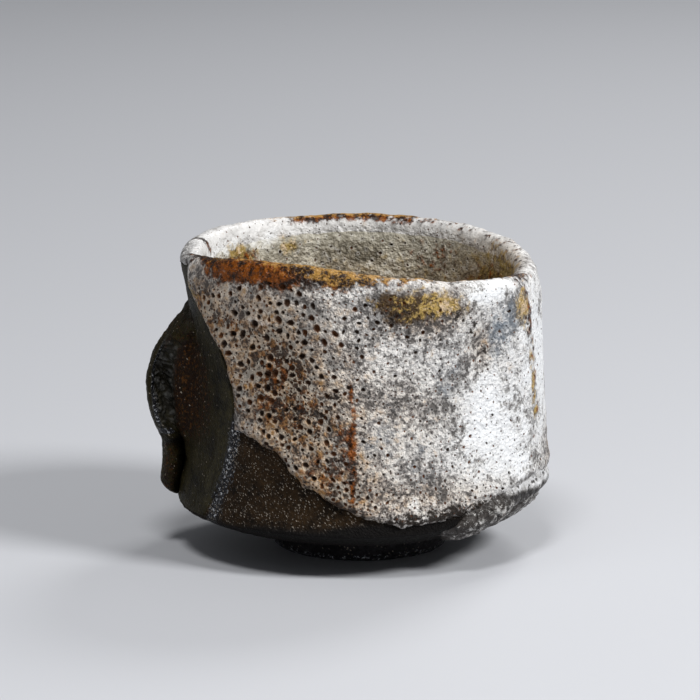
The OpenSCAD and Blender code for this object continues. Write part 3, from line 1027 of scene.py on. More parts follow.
class Graph:
    """Fills a node tree. Each method adds a node and returns the output that is wanted from it."""

    def __init__(self, tree: bpy.types.NodeTree) -> None:
        """Start on an empty tree."""
        self.tree = tree
        tree.nodes.clear()

    def node(self, kind: str, links: dict[str | int, Value], **settings: object) -> bpy.types.Node:
        """Add a node.

        Args:
            kind: Type of the node.
            links: A socket to join or a value to set, for each input.
            **settings: Properties of the node.

        Returns:
            The node.
        """
        made = self.tree.nodes.new(kind)
        for name, value in settings.items():
            setattr(made, name, value)
        for key, value in links.items():
            if isinstance(value, bpy.types.NodeSocket):
                self.tree.links.new(value, made.inputs[key])
            else:
                made.inputs[key].default_value = value
        return made

    def math(self, operation: str, first: Value, second: Value = 0.0, clamp: bool = False) -> bpy.types.NodeSocket:
        """Return the result of a sum on two values."""
        return self.node("ShaderNodeMath", {0: first, 1: second}, operation=operation, use_clamp=clamp).outputs[0]

    def times(self, first: Value, second: Value) -> bpy.types.NodeSocket:
        """Return the product of two values."""
        return self.math("MULTIPLY", first, second)

    def stir(self, value: Value, part: Value, amount: Value) -> bpy.types.NodeSocket:
        """Return value moved up and down by a noise that stands around 0.5."""
        return self.math("ADD", value, self.times(self.math("SUBTRACT", part, 0.5), amount))

    def mix(self, amount: Value, first: Value, second: Value) -> bpy.types.NodeSocket:
        """Return a colour that goes from the first to the second as amount grows."""
        return self.node("ShaderNodeMix", {0: amount, 6: first, 7: second}, data_type="RGBA").outputs[2]

    def tint(self, amount: Value, first: Value, second: Value) -> bpy.types.NodeSocket:
        """Return the first colour stained with the second, as far as amount says."""
        links = {0: amount, 6: first, 7: second}
        return self.node("ShaderNodeMix", links, data_type="RGBA", blend_type="MULTIPLY").outputs[2]

    def blend(self, amount: Value, first: Value, second: Value) -> bpy.types.NodeSocket:
        """Return a value that goes from the first to the second as amount grows."""
        return self.node("ShaderNodeMix", {0: amount, 2: first, 3: second}, data_type="FLOAT").outputs[0]

    def span(self, value: Value, low: Value, high: Value, start: Value = 0.0, end: Value = 1.0) -> bpy.types.NodeSocket:
        """Return value eased from start to end between low and high."""
        links = {"Value": value, "From Min": low, "From Max": high, "To Min": start, "To Max": end}
        return self.node("ShaderNodeMapRange", links, interpolation_type="SMOOTHSTEP").outputs[0]

    def noise(self, place: Value, density: Value, detail: float = 3.0, rough: float = 0.55) -> bpy.types.NodeSocket:
        """Return noise with that many lumps in a millimetre."""
        links = {"Vector": place, "Scale": density, "Detail": detail, "Roughness": rough}
        return self.node("ShaderNodeTexNoise", links).outputs["Fac"]

    def cells(self, place: Value, density: Value) -> tuple[bpy.types.NodeSocket, bpy.types.NodeOutputs]:
        """Return the distance from the nearest of scattered points, and three chances that go with that point."""
        cells = self.node("ShaderNodeTexVoronoi", {"Vector": place, "Scale": density}).outputs
        return cells["Distance"], self.node("ShaderNodeSeparateColor", {"Color": cells["Color"]}).outputs

    def layer(self, name: str) -> bpy.types.NodeSocket:
        """Return the value that the mesh holds under a name."""
        return self.node("ShaderNodeAttribute", {}, attribute_name=name).outputs["Fac"]

    def place(self) -> bpy.types.NodeSocket:
        """Return where on the cup a point lies, in millimetres."""
        where = self.node("ShaderNodeTexCoord", {}).outputs["Object"]
        return self.node("ShaderNodeVectorMath", {0: where, "Scale": 1 / MM}, operation="SCALE").outputs[0]

    def filled(self, tree: bpy.types.NodeTree, links: dict[str, Value]) -> bpy.types.NodeOutputs:
        """Place an effect in the tree and return what it puts out."""
        return self.node("ShaderNodeGroup", links, node_tree=tree).outputs

    def surface(self, colour: Value, shine: Value, height: Value, relief: float, specular: float) -> None:
        """Join the results to a shader and the output.

        Args:
            colour: Colour of the surface.
            shine: Its roughness.
            height: Height of its fine relief.
            relief: Millimetres that a height of 1 stands for.
            specular: Level of its reflections.
        """
        bump = self.node("ShaderNodeBump", {"Strength": 1.0, "Distance": relief * MM, "Height": height})
        shader = self.node("ShaderNodeBsdfPrincipled", {
            "Base Color": colour, "Roughness": shine, "Normal": bump.outputs[0], "IOR": 1.5,
            "Specular IOR Level": specular})
        self.node("ShaderNodeOutputMaterial", {"Surface": shader.outputs[0]})


class Effect:
    """An effect that several finishes use: a node group with named inputs and outputs."""

    def __init__(self, name: str, inputs: dict[str, float | None], outputs: Sequence[str]) -> None:
        """Make the group's sockets.

        Args:
            name: Name of the group.
            inputs: Default of each value, or None for a place on the cup.
            outputs: Names of the values that it puts out.
        """
        self.tree = bpy.data.node_groups.new(name, "ShaderNodeTree")
        for key, value in inputs.items():
            kind = "NodeSocketVector" if value is None else "NodeSocketFloat"
            socket = self.tree.interface.new_socket(name=key, in_out="INPUT", socket_type=kind)
            if value is not None:
                socket.default_value = value
        for key in outputs:
            self.tree.interface.new_socket(name=key, in_out="OUTPUT", socket_type="NodeSocketFloat")
        self.graph = Graph(self.tree)
        self.inputs = self.tree.nodes.new("NodeGroupInput").outputs
        self.outputs = self.tree.nodes.new("NodeGroupOutput").inputs

    def give(self, **results: bpy.types.NodeSocket) -> bpy.types.NodeTree:
        """Join results to the outputs of the same names.

        Args:
            **results: The results.

        Returns:
            The group.
        """
        for key, value in results.items():
            self.tree.links.new(value, self.outputs[key])
        return self.tree


class Effects:
    """The effects, each built once."""

    def __init__(self) -> None:
        """Build them all."""
        self.ragged = self.make_ragged()
        self.pinpricks = self.make_pinpricks()
        self.mottle = self.make_mottle()
        self.grit = self.make_grit()

    def make_ragged(self) -> bpy.types.NodeTree:
        """Break the soft edge of a mask up with noise.

        Returns:
            The group.
        """
        effect = Effect("ragged_edge", {"Place": None, "Mask": 0.0, "Fineness": 0.6, "Strength": 2.4, "Sharpness": 0.2},
                        ["Mask"])
        g, i = effect.graph, effect.inputs
        moved = g.stir(i["Mask"], g.noise(i["Place"], i["Fineness"], 5.0, 0.62), i["Strength"])
        cut = g.span(moved, g.math("SUBTRACT", 0.5, i["Sharpness"]), g.math("ADD", 0.5, i["Sharpness"]))
        return effect.give(Mask=g.times(cut, g.span(i["Mask"], 0.04, 0.2)))

    def make_pinpricks(self) -> bpy.types.NodeTree:
        """Scatter small dark holes.

        Returns:
            The group.
        """
        effect = Effect("pinpricks", {"Place": None, "Fineness": 0.9, "Width": 0.2, "Share": 0.5}, ["Mask", "Height"])
        g, i = effect.graph, effect.inputs
        shake = g.node("ShaderNodeTexNoise", {"Vector": i["Place"], "Scale": 2.4, "Detail": 2.0}).outputs["Color"]
        moved = g.node("ShaderNodeVectorMath", {0: shake, 1: (0.4, 0.4, 0.4)}, operation="MULTIPLY").outputs[0]
        place = g.node("ShaderNodeVectorMath", {0: i["Place"], 1: moved}, operation="ADD").outputs[0]
        distance, chance = g.cells(place, i["Fineness"])
        width = g.times(i["Width"], g.math("ADD", 0.45, chance[1]))
        hole = g.span(distance, g.times(width, 0.45), width, 1.0, 0.0)
        mask = g.times(hole, g.math("LESS_THAN", chance[0], i["Share"]))
        return effect.give(Mask=mask, Height=g.math("SUBTRACT", 1.0, mask))

    def make_mottle(self) -> bpy.types.NodeTree:
        """Cloud a surface at three scales.

        Returns:
            The group.
        """
        effect = Effect("mottle", {"Place": None, "Fineness": 0.1, "Contrast": 1.0}, ["Cloud", "Fleck"])
        g, i = effect.graph, effect.inputs
        wide = g.noise(i["Place"], i["Fineness"], 4.0, 0.6)
        fine = g.noise(i["Place"], g.times(i["Fineness"], 7.0), 3.0, 0.6)
        both = g.math("ADD", g.times(wide, 0.6), g.times(fine, 0.4))
        spread = g.times(g.math("SUBTRACT", both, 0.5), g.times(i["Contrast"], 2.6))
        cloud = g.math("ADD", spread, 0.5, clamp=True)
        return effect.give(Cloud=cloud, Fleck=g.span(g.noise(i["Place"], 2.6, 2.0, 0.7), 0.56, 0.74))

    def make_grit(self) -> bpy.types.NodeTree:
        """Stud a surface with grains and with bright glints of uneven shape, which the finishes mix into their colour
        as painted highlights.

        Returns:
            The group.
        """
        effect = Effect("grit", {"Place": None, "Fineness": 2.2, "Share": 0.4}, ["Glint", "Grain"])
        g, i = effect.graph, effect.inputs
        sharp = g.noise(i["Place"], i["Fineness"], 2.0, 0.7)
        distance, chance = g.cells(i["Place"], i["Fineness"])
        wide = g.times(g.math("POWER", chance[1], 2.0), 0.36)
        near = g.math("SUBTRACT", g.math("ADD", wide, g.times(sharp, 0.3)), distance)
        glint = g.times(g.span(near, 0.0, 0.12), g.math("LESS_THAN", chance[0], i["Share"]))
        lumps = g.span(distance, 0.1, 0.8, 1.0, 0.0)
        return effect.give(Glint=glint, Grain=g.math("ADD", g.times(lumps, 0.5), g.times(sharp, 0.8)))

    def torn(self, g: Graph, place: Value, layer: str, fineness: float, strength: float,
             sharpness: float) -> bpy.types.NodeSocket:
        """Read a layer of the mesh in a material and break its soft edge up.

        Args:
            g: The material's graph.
            place: Where on the cup a point lies.
            layer: Name of the layer.
            fineness: Lumps of the noise in a millimetre.
            strength: How far the noise moves the edge.
            sharpness: Half width of the edge that is left.

        Returns:
            The mask.
        """
        links = {"Place": place, "Mask": g.layer(layer), "Fineness": fineness, "Strength": strength,
                 "Sharpness": sharpness}
        return g.filled(self.ragged, links)["Mask"]


def start_material(name: str) -> tuple[bpy.types.Material, Graph, bpy.types.NodeSocket]:
    """Make an empty material.

    Args:
        name: Its name.

    Returns:
        The material, the graph that fills it, and the place that its textures read.
    """
    made = bpy.data.materials.new(name)
    made.use_nodes = True
    g = Graph(made.node_tree)
    return made, g, g.place()


@dataclass(frozen=True)
class GlazeFinish:
    """White feldspar glaze: its ground colours, its stains and the dark of its pits."""

    name: str
    wash: Colour = (0.55, 0.35, 0.17, 1)
    clouds: float = 1.0
    contrast: float = 1.0
    lightness: float = 0.46
    low: Colour = (0.13, 0.122, 0.115, 1)
    low_brown: Colour = (0.055, 0.030, 0.015, 1)
    dull: Colour = (0.38, 0.37, 0.36, 1)
    dull_brown: Colour = (0.32, 0.195, 0.095, 1)
    pale: Colour = (0.80, 0.79, 0.775, 1)
    pale_brown: Colour = (0.78, 0.62, 0.40, 1)
    white: Colour = (0.875, 0.885, 0.89, 1)
    rust: Colour = (0.26, 0.066, 0.001, 1)
    burnt: Colour = (0.02, 0.007, 0.002, 1)
    gold: Colour = (0.42, 0.23, 0.055, 1)
    olive: Colour = (0.44, 0.295, 0.085, 1)
    umber: Colour = (0.06, 0.032, 0.010, 1)
    tan: Colour = (0.66, 0.50, 0.32, 1)
    # Bluish grey of the glaze's tint and of the painted shade in the dent.
    blue: Colour = (0.20, 0.235, 0.275, 1)
    soot: Colour = (0.026, 0.019, 0.014, 1)
    speck: Colour = (0.05, 0.018, 0.008, 1)
    pit_dark: Colour = (0.035, 0.018, 0.010, 1)
    pit_rust: Colour = (0.13, 0.045, 0.014, 1)
    pinprick_share: float = 0.4
    shine_low: float = 0.2
    shine_high: float = 0.48
    lump_height: float = 0.85

    def material(self, effects: Effects) -> bpy.types.Material:
        """Build the material.

        Args:
            effects: The shared effects.

        Returns:
            The material.
        """
        made, g, place = start_material(self.name)
        murk = g.layer("murk")
        cloud = g.noise(place, 0.15, 3.0, 0.5)
        patch = g.noise(place, 0.5, 4.0, 0.6)
        grain = g.noise(place, 1.15, 3.0, 0.6)
        fine = g.noise(place, 2.4, 2.0)
        streaked = g.noise(place, 0.8, 5.0, 0.68)
        # Whiter glaze, and on the right front facet painted highlight where the light falls.
        white = effects.torn(g, place, "white", 0.35, 1.6, 0.4)
        tone = g.times(white, 0.5)
        for part, amount in ((cloud, 1.4 * self.clouds), (patch, 1.5 * self.clouds), (grain, 1.6 * self.contrast),
                             (fine, 0.6 * self.contrast)):
            tone = g.stir(tone, part, amount)
        tone = g.math("ADD", g.math("SUBTRACT", tone, g.times(murk, 0.2)), self.lightness)
        tone = g.blend(g.times(g.layer("calm"), 0.85), tone, 0.62)
        ground = g.mix(g.span(tone, 0.14, 0.38), g.mix(murk, self.low, self.low_brown),
                       g.mix(murk, self.dull, self.dull_brown))
        ground = g.mix(g.span(tone, 0.34, 0.70), ground, g.mix(murk, self.pale, self.pale_brown))
        ground = g.tint(g.span(g.stir(murk, patch, 2.4), 0.22, 1.0), ground, self.wash)
        colour = g.mix(g.times(white, g.span(tone, 0.40, 0.66)), ground, self.white)
        # Bluish grey: the glaze's own tint, and painted shade in the dent on the right front facet.
        blue = effects.torn(g, place, "blue", 0.35, 1.6, 0.4)
        colour = g.mix(g.times(blue, g.span(tone, 0.9, 0.4, 0.3, 0.9)), colour, self.blue)
        tan = g.stir(g.layer("tan"), patch, 1.6)
        earth = g.mix(g.span(g.stir(tan, streaked, 3.0), 0.15, 0.62), self.umber, self.olive)
        earth = g.mix(g.span(g.stir(tan, grain, 2.0), 0.62, 1.0), earth, self.tan)
        olive = effects.torn(g, place, "olive", 0.5, 2.2, 0.3)
        colour = g.mix(olive, colour, earth)
        fired = g.stir(g.stir(g.stir(g.times(g.layer("fired"), 0.72), patch, 2.0), streaked, 2.2), fine, 0.8)
        rust = g.mix(g.span(fired, 0.20, 0.90), self.burnt, self.rust)
        gilt = g.stir(g.stir(g.stir(g.layer("gold"), patch, 1.2), streaked, 2.6), fine, 1.4)
        rust = g.mix(g.span(gilt, 0.45, 1.15), rust, self.gold)
        iron = effects.torn(g, place, "iron", 0.7, 2.4, 0.28)
        colour = g.mix(iron, colour, rust)
        soot = effects.torn(g, place, "soot", 0.9, 3.0, 0.2)
        colour = g.mix(soot, colour, self.soot)
        stained = g.math("MAXIMUM", g.math("MAXIMUM", iron, soot), olive)
        # Painted highlights: colour near the rim of each pit is mixed towards white or pale brown.
        rim = g.span(g.math("SUBTRACT", g.layer("rim"), stained, clamp=True), 0.5, 1.0)
        rim = g.times(rim, g.blend(murk, 0.15, 0.55))
        colour = g.mix(rim, colour, g.mix(g.times(murk, 0.8), self.white, self.pale_brown))
        pricks = g.filled(effects.pinpricks, {
            "Place": place, "Fineness": 1.1, "Width": g.blend(murk, 0.2, 0.32), "Share": self.pinprick_share})
        colour = g.mix(g.times(pricks["Mask"], 0.85), colour, self.speck)
        hole = g.mix(g.span(g.layer("rust"), 0.3, 0.8), self.pit_dark, self.pit_rust)
        pit = g.span(g.stir(g.layer("pit"), grain, 1.4), 0.15, 0.85)
        colour = g.mix(pit, colour, hole)

        shine = g.blend(g.noise(place, 0.7, 3.0), self.shine_low, self.shine_high)
        shine = g.blend(g.math("MAXIMUM", pit, soot), shine, 0.6)
        swell = g.noise(place, 1.4, 2.0, 0.5)
        height = g.stir(g.stir(g.times(pricks["Height"], 0.2), swell, 1.5), fine, 0.15)
        height = g.blend(g.times(g.layer("calm"), 0.9), g.stir(height, patch, 1.2), 0.2)
        height = g.blend(g.times(white, 0.5), height, 0.2)
        g.surface(colour, shine, height, self.lump_height, specular=0.25)
        return made


@dataclass(frozen=True)
class ClayFinish:
    """Bare or slipped stoneware: its colours, its grit, its painted glints, a silver edge of wear and painted
    highlight, and painted shade where it lies deep.
    """

    name: str
    dark: Colour
    light: Colour
    # Colour of the glints, which are painted highlights.
    glint: Colour = (0.50, 0.43, 0.35, 1)
    # Bright specks of the silver strip and edges: a painted highlight colour.
    silver: Colour = (0.78, 0.80, 0.84, 1)
    steel: Colour = (0.022, 0.022, 0.025, 1)
    brown: Colour = (0.012, 0.004, 0.0006, 1)
    amber: Colour = (0.09, 0.034, 0.005, 1)
    # Light grey of the painted sheen on the fold's lip and wrinkles.
    grey_sheen: Colour = (0.17, 0.168, 0.155, 1)
    # Near-black of the painted shade that the deep layer lays on.
    deep: Colour = (0.006, 0.005, 0.0045, 1)
    glint_share: float = 0.6
    fineness: float = 3.4
    shine_low: float = 0.42
    shine_high: float = 0.7
    glint_shine: float = 0.2
    bump_height: float = 0.3

    def material(self, effects: Effects) -> bpy.types.Material:
        """Build the material.

        Args:
            effects: The shared effects.

        Returns:
            The material.
        """
        made, g, place = start_material(self.name)
        mottle = g.filled(effects.mottle, {"Place": place, "Fineness": 0.24, "Contrast": 1.6})
        links = {"Vector": place, "Rotation": (0, math.radians(45), 0), "Scale": (2.4, 1, 1)}
        drawn = g.node("ShaderNodeMapping", links, vector_type="TEXTURE").outputs[0]
        grit = g.filled(effects.grit, {"Place": drawn, "Fineness": self.fineness, "Share": self.glint_share})
        colour = g.mix(mottle["Cloud"], self.dark, self.light)
        warm = effects.torn(g, place, "brown", 1.3, 3.4, 0.4)
        colour = g.mix(warm, colour, g.mix(g.span(g.noise(place, 1.7, 3.0, 0.7), 0.5, 0.66), self.brown, self.amber))
        # Painted sheen: light grey mixed in on the fold's lip and the hollow's wrinkles.
        colour = g.mix(g.layer("grey_sheen"), colour, self.grey_sheen)
        # Silver specks on a dark ground: part wear, part painted highlight on the front ridge, the foot's edge and the
        # fold's lip.
        worn = effects.torn(g, place, "worn", 1.8, 2.0, 0.2)
        speckle = g.span(g.noise(place, 1.9, 3.0, 0.7), 0.55, 0.67)
        colour = g.mix(worn, colour, g.mix(speckle, self.steel, self.silver))
        # Painted highlights: bright glint specks mixed into the colour.
        glint = g.times(grit["Glint"], g.span(g.noise(place, 0.5, 3.0), 0.36, 0.56, 0.15, 1.0))
        colour = g.mix(g.times(glint, 0.8), colour, self.glint)
        # Painted shade: darkens the clay under the base edge and in the fold's crevices.
        colour = g.mix(g.layer("deep"), colour, self.deep)
        shine = g.blend(mottle["Fleck"], self.shine_high, self.shine_low)
        shine = g.blend(g.math("MAXIMUM", glint, worn), shine, self.glint_shine)
        height = g.math("ADD", grit["Grain"], g.times(g.noise(place, 1.1, 4.0, 0.6), 1.3))
        height = g.math("ADD", height, g.times(worn, 0.4))
        g.surface(colour, shine, height, self.bump_height, specular=0.12)
        return made


@dataclass(frozen=True)
class CrustFinish:
    """Glaze that rolled down and gathered grit and ashes."""

    name: str
    dark: Colour = (0.022, 0.016, 0.012, 1)
    brown: Colour = (0.12, 0.07, 0.04, 1)
    pale: Colour = (0.46, 0.45, 0.43, 1)
    white: Colour = (0.74, 0.74, 0.74, 1)
    grey: Colour = (0.45, 0.44, 0.43, 1)
    crack: Colour = (0.01, 0.008, 0.007, 1)
    shine_low: float = 0.32
    shine_high: float = 0.75
    bump_height: float = 0.34

    def material(self, effects: Effects) -> bpy.types.Material:
        """Build the material.

        Args:
            effects: The shared effects.

        Returns:
            The material.
        """
        made, g, place = start_material(self.name)
        grit = g.filled(effects.grit, {"Place": place, "Fineness": 1.0, "Share": 0.5})
        mottle = g.filled(effects.mottle, {"Place": place, "Fineness": 0.85, "Contrast": 1.6})
        pricks = g.filled(effects.pinpricks, {"Place": place, "Fineness": 1.3, "Width": 0.42, "Share": 0.75})
        colour = g.mix(g.span(mottle["Cloud"], 0.25, 0.75), self.brown, self.pale)
        # Painted light: high parts of the crown layer keep the lighter colour as painted highlight, the rest turns dark
        # as painted shade.
        high = g.stir(g.layer("crown"), mottle["Cloud"], 0.9)
        colour = g.mix(g.span(high, 0.58, 0.92), self.dark, colour)
        glazed = g.mix(g.span(mottle["Cloud"], 0.2, 0.7), self.grey, self.white)
        colour = g.mix(g.layer("glazed"), colour, glazed)
        colour = g.mix(g.times(pricks["Mask"], 0.9), colour, self.dark)
        colour = g.mix(g.layer("crack"), colour, self.crack)
        shine = g.blend(g.noise(place, 0.8, 3.0), self.shine_low, self.shine_high)
        height = g.math("ADD", grit["Grain"], g.times(pricks["Height"], 0.8))
        g.surface(colour, shine, height, self.bump_height, specular=0.5)
        return made


# Where the silver strip runs along the front ridge: part wear, part painted highlight.
SILVER = (Streak(((226.8, 28), (222.6, 17.5), (217.6, 11.5), (215.4, 8.2)), 1.6),)


def slip_seam() -> Pairs:
    """Read the slip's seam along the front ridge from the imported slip.

    Returns:
        Pairs of height and angle, from the base up.
    """
    tree = tree_of(["iron_slip"])
    line = []
    for height in np.arange(9.5, 51.5, 1.5):
        for angle in np.arange(240.0, 190.0, -0.25):
            if meets(tree, angle, height):
                line.append((float(height), angle))
                break
    return line


RIDGE = slip_seam()


def shut(front: Array, back: Array) -> tuple[Array, list[tuple[int, int, int, int]]]:
    """Close two nets of points, the one in front of the other, that meet along their borders.

    Args:
        front: The front net, rows by columns.
        back: The back net, of the same shape.

    Returns:
        All points and the quads.
    """
    rows, columns = front.shape[:2]
    faces = grid_faces(rows, columns)
    count = rows * columns
    faces += [tuple(count + k for k in face[::-1]) for face in faces]
    return np.vstack([front.reshape(-1, 3), back.reshape(-1, 3)]), faces


def border_fade(rows: int, columns: int) -> Array:
    """Mark the border of a net.

    Args:
        rows: Rows of points.
        columns: Points in a row.

    Returns:
        0 at the points on the border and 1 at the others.
    """
    fade = np.ones((rows, columns))
    fade[[0, -1]] = fade[:, [0, -1]] = 0
    return fade.ravel()


@dataclass
class ClayBody:
    """The thrown and cut clay: gritty where it is bare, and plain where glaze covers it."""

    profile: Profile
    glaze: Glaze
    columns: int = 480
    bare_rows: int = 92
    bare_top: float = -24.0
    wall_rows: int = 24
    inside_rows: int = 44
    covered_depth: float = 0.12

    def rows(self, angle: Array) -> Array:
        """Space out the points of each column.

        Args:
            angle: Angle of each column.

        Returns:
            Their lengths along the outline, rows by columns.
        """
        start, end = self.profile.around(self.profile.starts, angle), self.profile.around(self.profile.ends, angle)
        bare = np.linspace(0, 1, self.bare_rows)[:, None]
        wall = np.linspace(self.bare_top, 4, self.wall_rows)[1:, None]
        inside = np.linspace(0, 0.985, self.inside_rows)[1:, None]
        return np.vstack([start + (self.bare_top - start) * bare, wall + 0 * angle, 4 + (end - 4) * inside])

    def build(self) -> bpy.types.Object:
        """Make the mesh.

        Returns:
            The piece.
        """
        angle = CUT + np.arange(self.columns) * 360 / self.columns
        run = self.rows(angle)
        rows = len(run)
        angles = np.tile(angle, rows)
        runs = run.ravel()
        place = self.profile.points(angles, runs)
        across = across_of(angles)
        lower = np.interp(across, *self.glaze.lower.T, left=-4, right=-4)
        covered = smooth(runs - lower, 0.2, 1.4)
        slant = np.column_stack([across + place[:, 2], 0.2 * (across - place[:, 2]), np.zeros(len(across))])
        relief = 0.12 * GRAIN.layers(place, 2.6) + 0.07 * GRAIN(place + 5, 0.9) + 0.13 * GRAIN.layers(slant, 1.6, 2)
        height = relief * (1 - covered) - self.covered_depth * covered
        place += self.profile.normals(angles, runs) * height[:, None]
        faces = grid_faces(rows, self.columns, closed=True)
        under, floor = place[:self.columns].mean(axis=0), place[-self.columns:].mean(axis=0)
        count = rows * self.columns
        inner = place[:self.columns] * [0.5, 0.5, 1]
        place = np.vstack([place, inner, under[None], floor[None]])
        for k in range(self.columns):
            after = (k + 1) % self.columns
            faces.append((k, count + k, count + after, after))
            faces.append((count + k, count + self.columns, count + after))
            faces.append((count - self.columns + k, count - self.columns + after, count + self.columns + 1))
        # Silver strip along the front ridge: part wear, part painted highlight.
        worn = paint(SILVER, angles, place[:count, 2])
        worn = np.concatenate([worn * (runs > -56), np.zeros(self.columns + 2)])
        # Painted shade under the base edge: the underside turns near-black below a height that rises towards the front.
        dark = np.append(0.3 + 0.8 * smooth(angles, 226, 240) + 1.5 * smooth(angles, 256, 272),
                         np.zeros(self.columns + 2))
        deep = 1 - smooth(place[:, 2] - dark, 7.7, 9.5)
        return make_mesh("bare_clay_body", place, faces, worn=worn, deep=deep)


@dataclass
class SlipCoat:
    """The thin dark slip on the left facet, rubbed through along the front ridge to a silver strip that is part wear,
    part painted highlight.
    """

    profile: Profile
    columns: int = 150
    row_count: int = 130
    low: float = 8.9
    back_angle: float = 147.2
    top_run: float = -3.1
    thick: float = 0.32

    def build(self) -> bpy.types.Object:
        """Make the mesh.

        Returns:
            The piece.
        """
        part = np.linspace(0, 1, self.row_count)[:, None] + np.zeros(self.columns)
        share = np.linspace(0, 1, self.columns) + np.zeros((self.row_count, 1))
        height = self.low + (51.0 - self.low) * part
        ridge = np.interp(height, *zip(*RIDGE))
        angle = (self.back_angle + (ridge - self.back_angle) * share).ravel()
        start = self.profile.run_at(angle[:self.columns], np.full(self.columns, self.low))
        level = self.profile.run_at(angle, height.ravel()).reshape(part.shape)
        level += (self.top_run - level[-1]) * smooth(part, 0.7, 1)
        level += (start - level[0]) * (1 - smooth(part, 0, 0.1))
        run = level.ravel()
        place = self.profile.points(angle, run)
        normal = self.profile.normals(angle, run)
        fade = border_fade(*part.shape)
        lumps = 0.13 * GRAIN.layers(place + 3, 3.6) + 0.06 * GRAIN(place + 21, 1.1)
        front = place + normal * ((self.thick + lumps) * fade - 0.06)[:, None]
        back = place - normal * (0.06 + 0.2 * fade)[:, None]
        points, faces = shut(front.reshape(*part.shape, 3), back.reshape(*part.shape, 3))
        # Silver strip along the front ridge: part wear, part painted highlight.
        worn = np.tile(paint(SILVER, angle, place[:, 2]), 2)
        return make_mesh("iron_slip_coat", points, faces, worn=worn, deep=np.zeros(len(points)))


def through_points(values: Array, count: int) -> Array:
    """Return a smooth curve through points along the first axis.

    Args:
        values: The points.
        count: How many places to read, the ends among them.

    Returns:
        The curve's points.
    """
    places = np.linspace(0, len(values) - 1, count)
    k = np.clip(np.floor(places).astype(int), 0, len(values) - 2)
    t = (places - k).reshape((-1,) + (1,) * (values.ndim - 1))
    before, a = values[np.maximum(k - 1, 0)], values[k]
    b, after = values[k + 1], values[np.minimum(k + 2, len(values) - 1)]
    first, second = (b - before) / 2, (after - a) / 2
    return ((2 * t ** 3 - 3 * t ** 2 + 1) * a + (t ** 3 - 2 * t ** 2 + t) * first
            + (3 * t ** 2 - 2 * t ** 3) * b + (t ** 3 - t ** 2) * second)


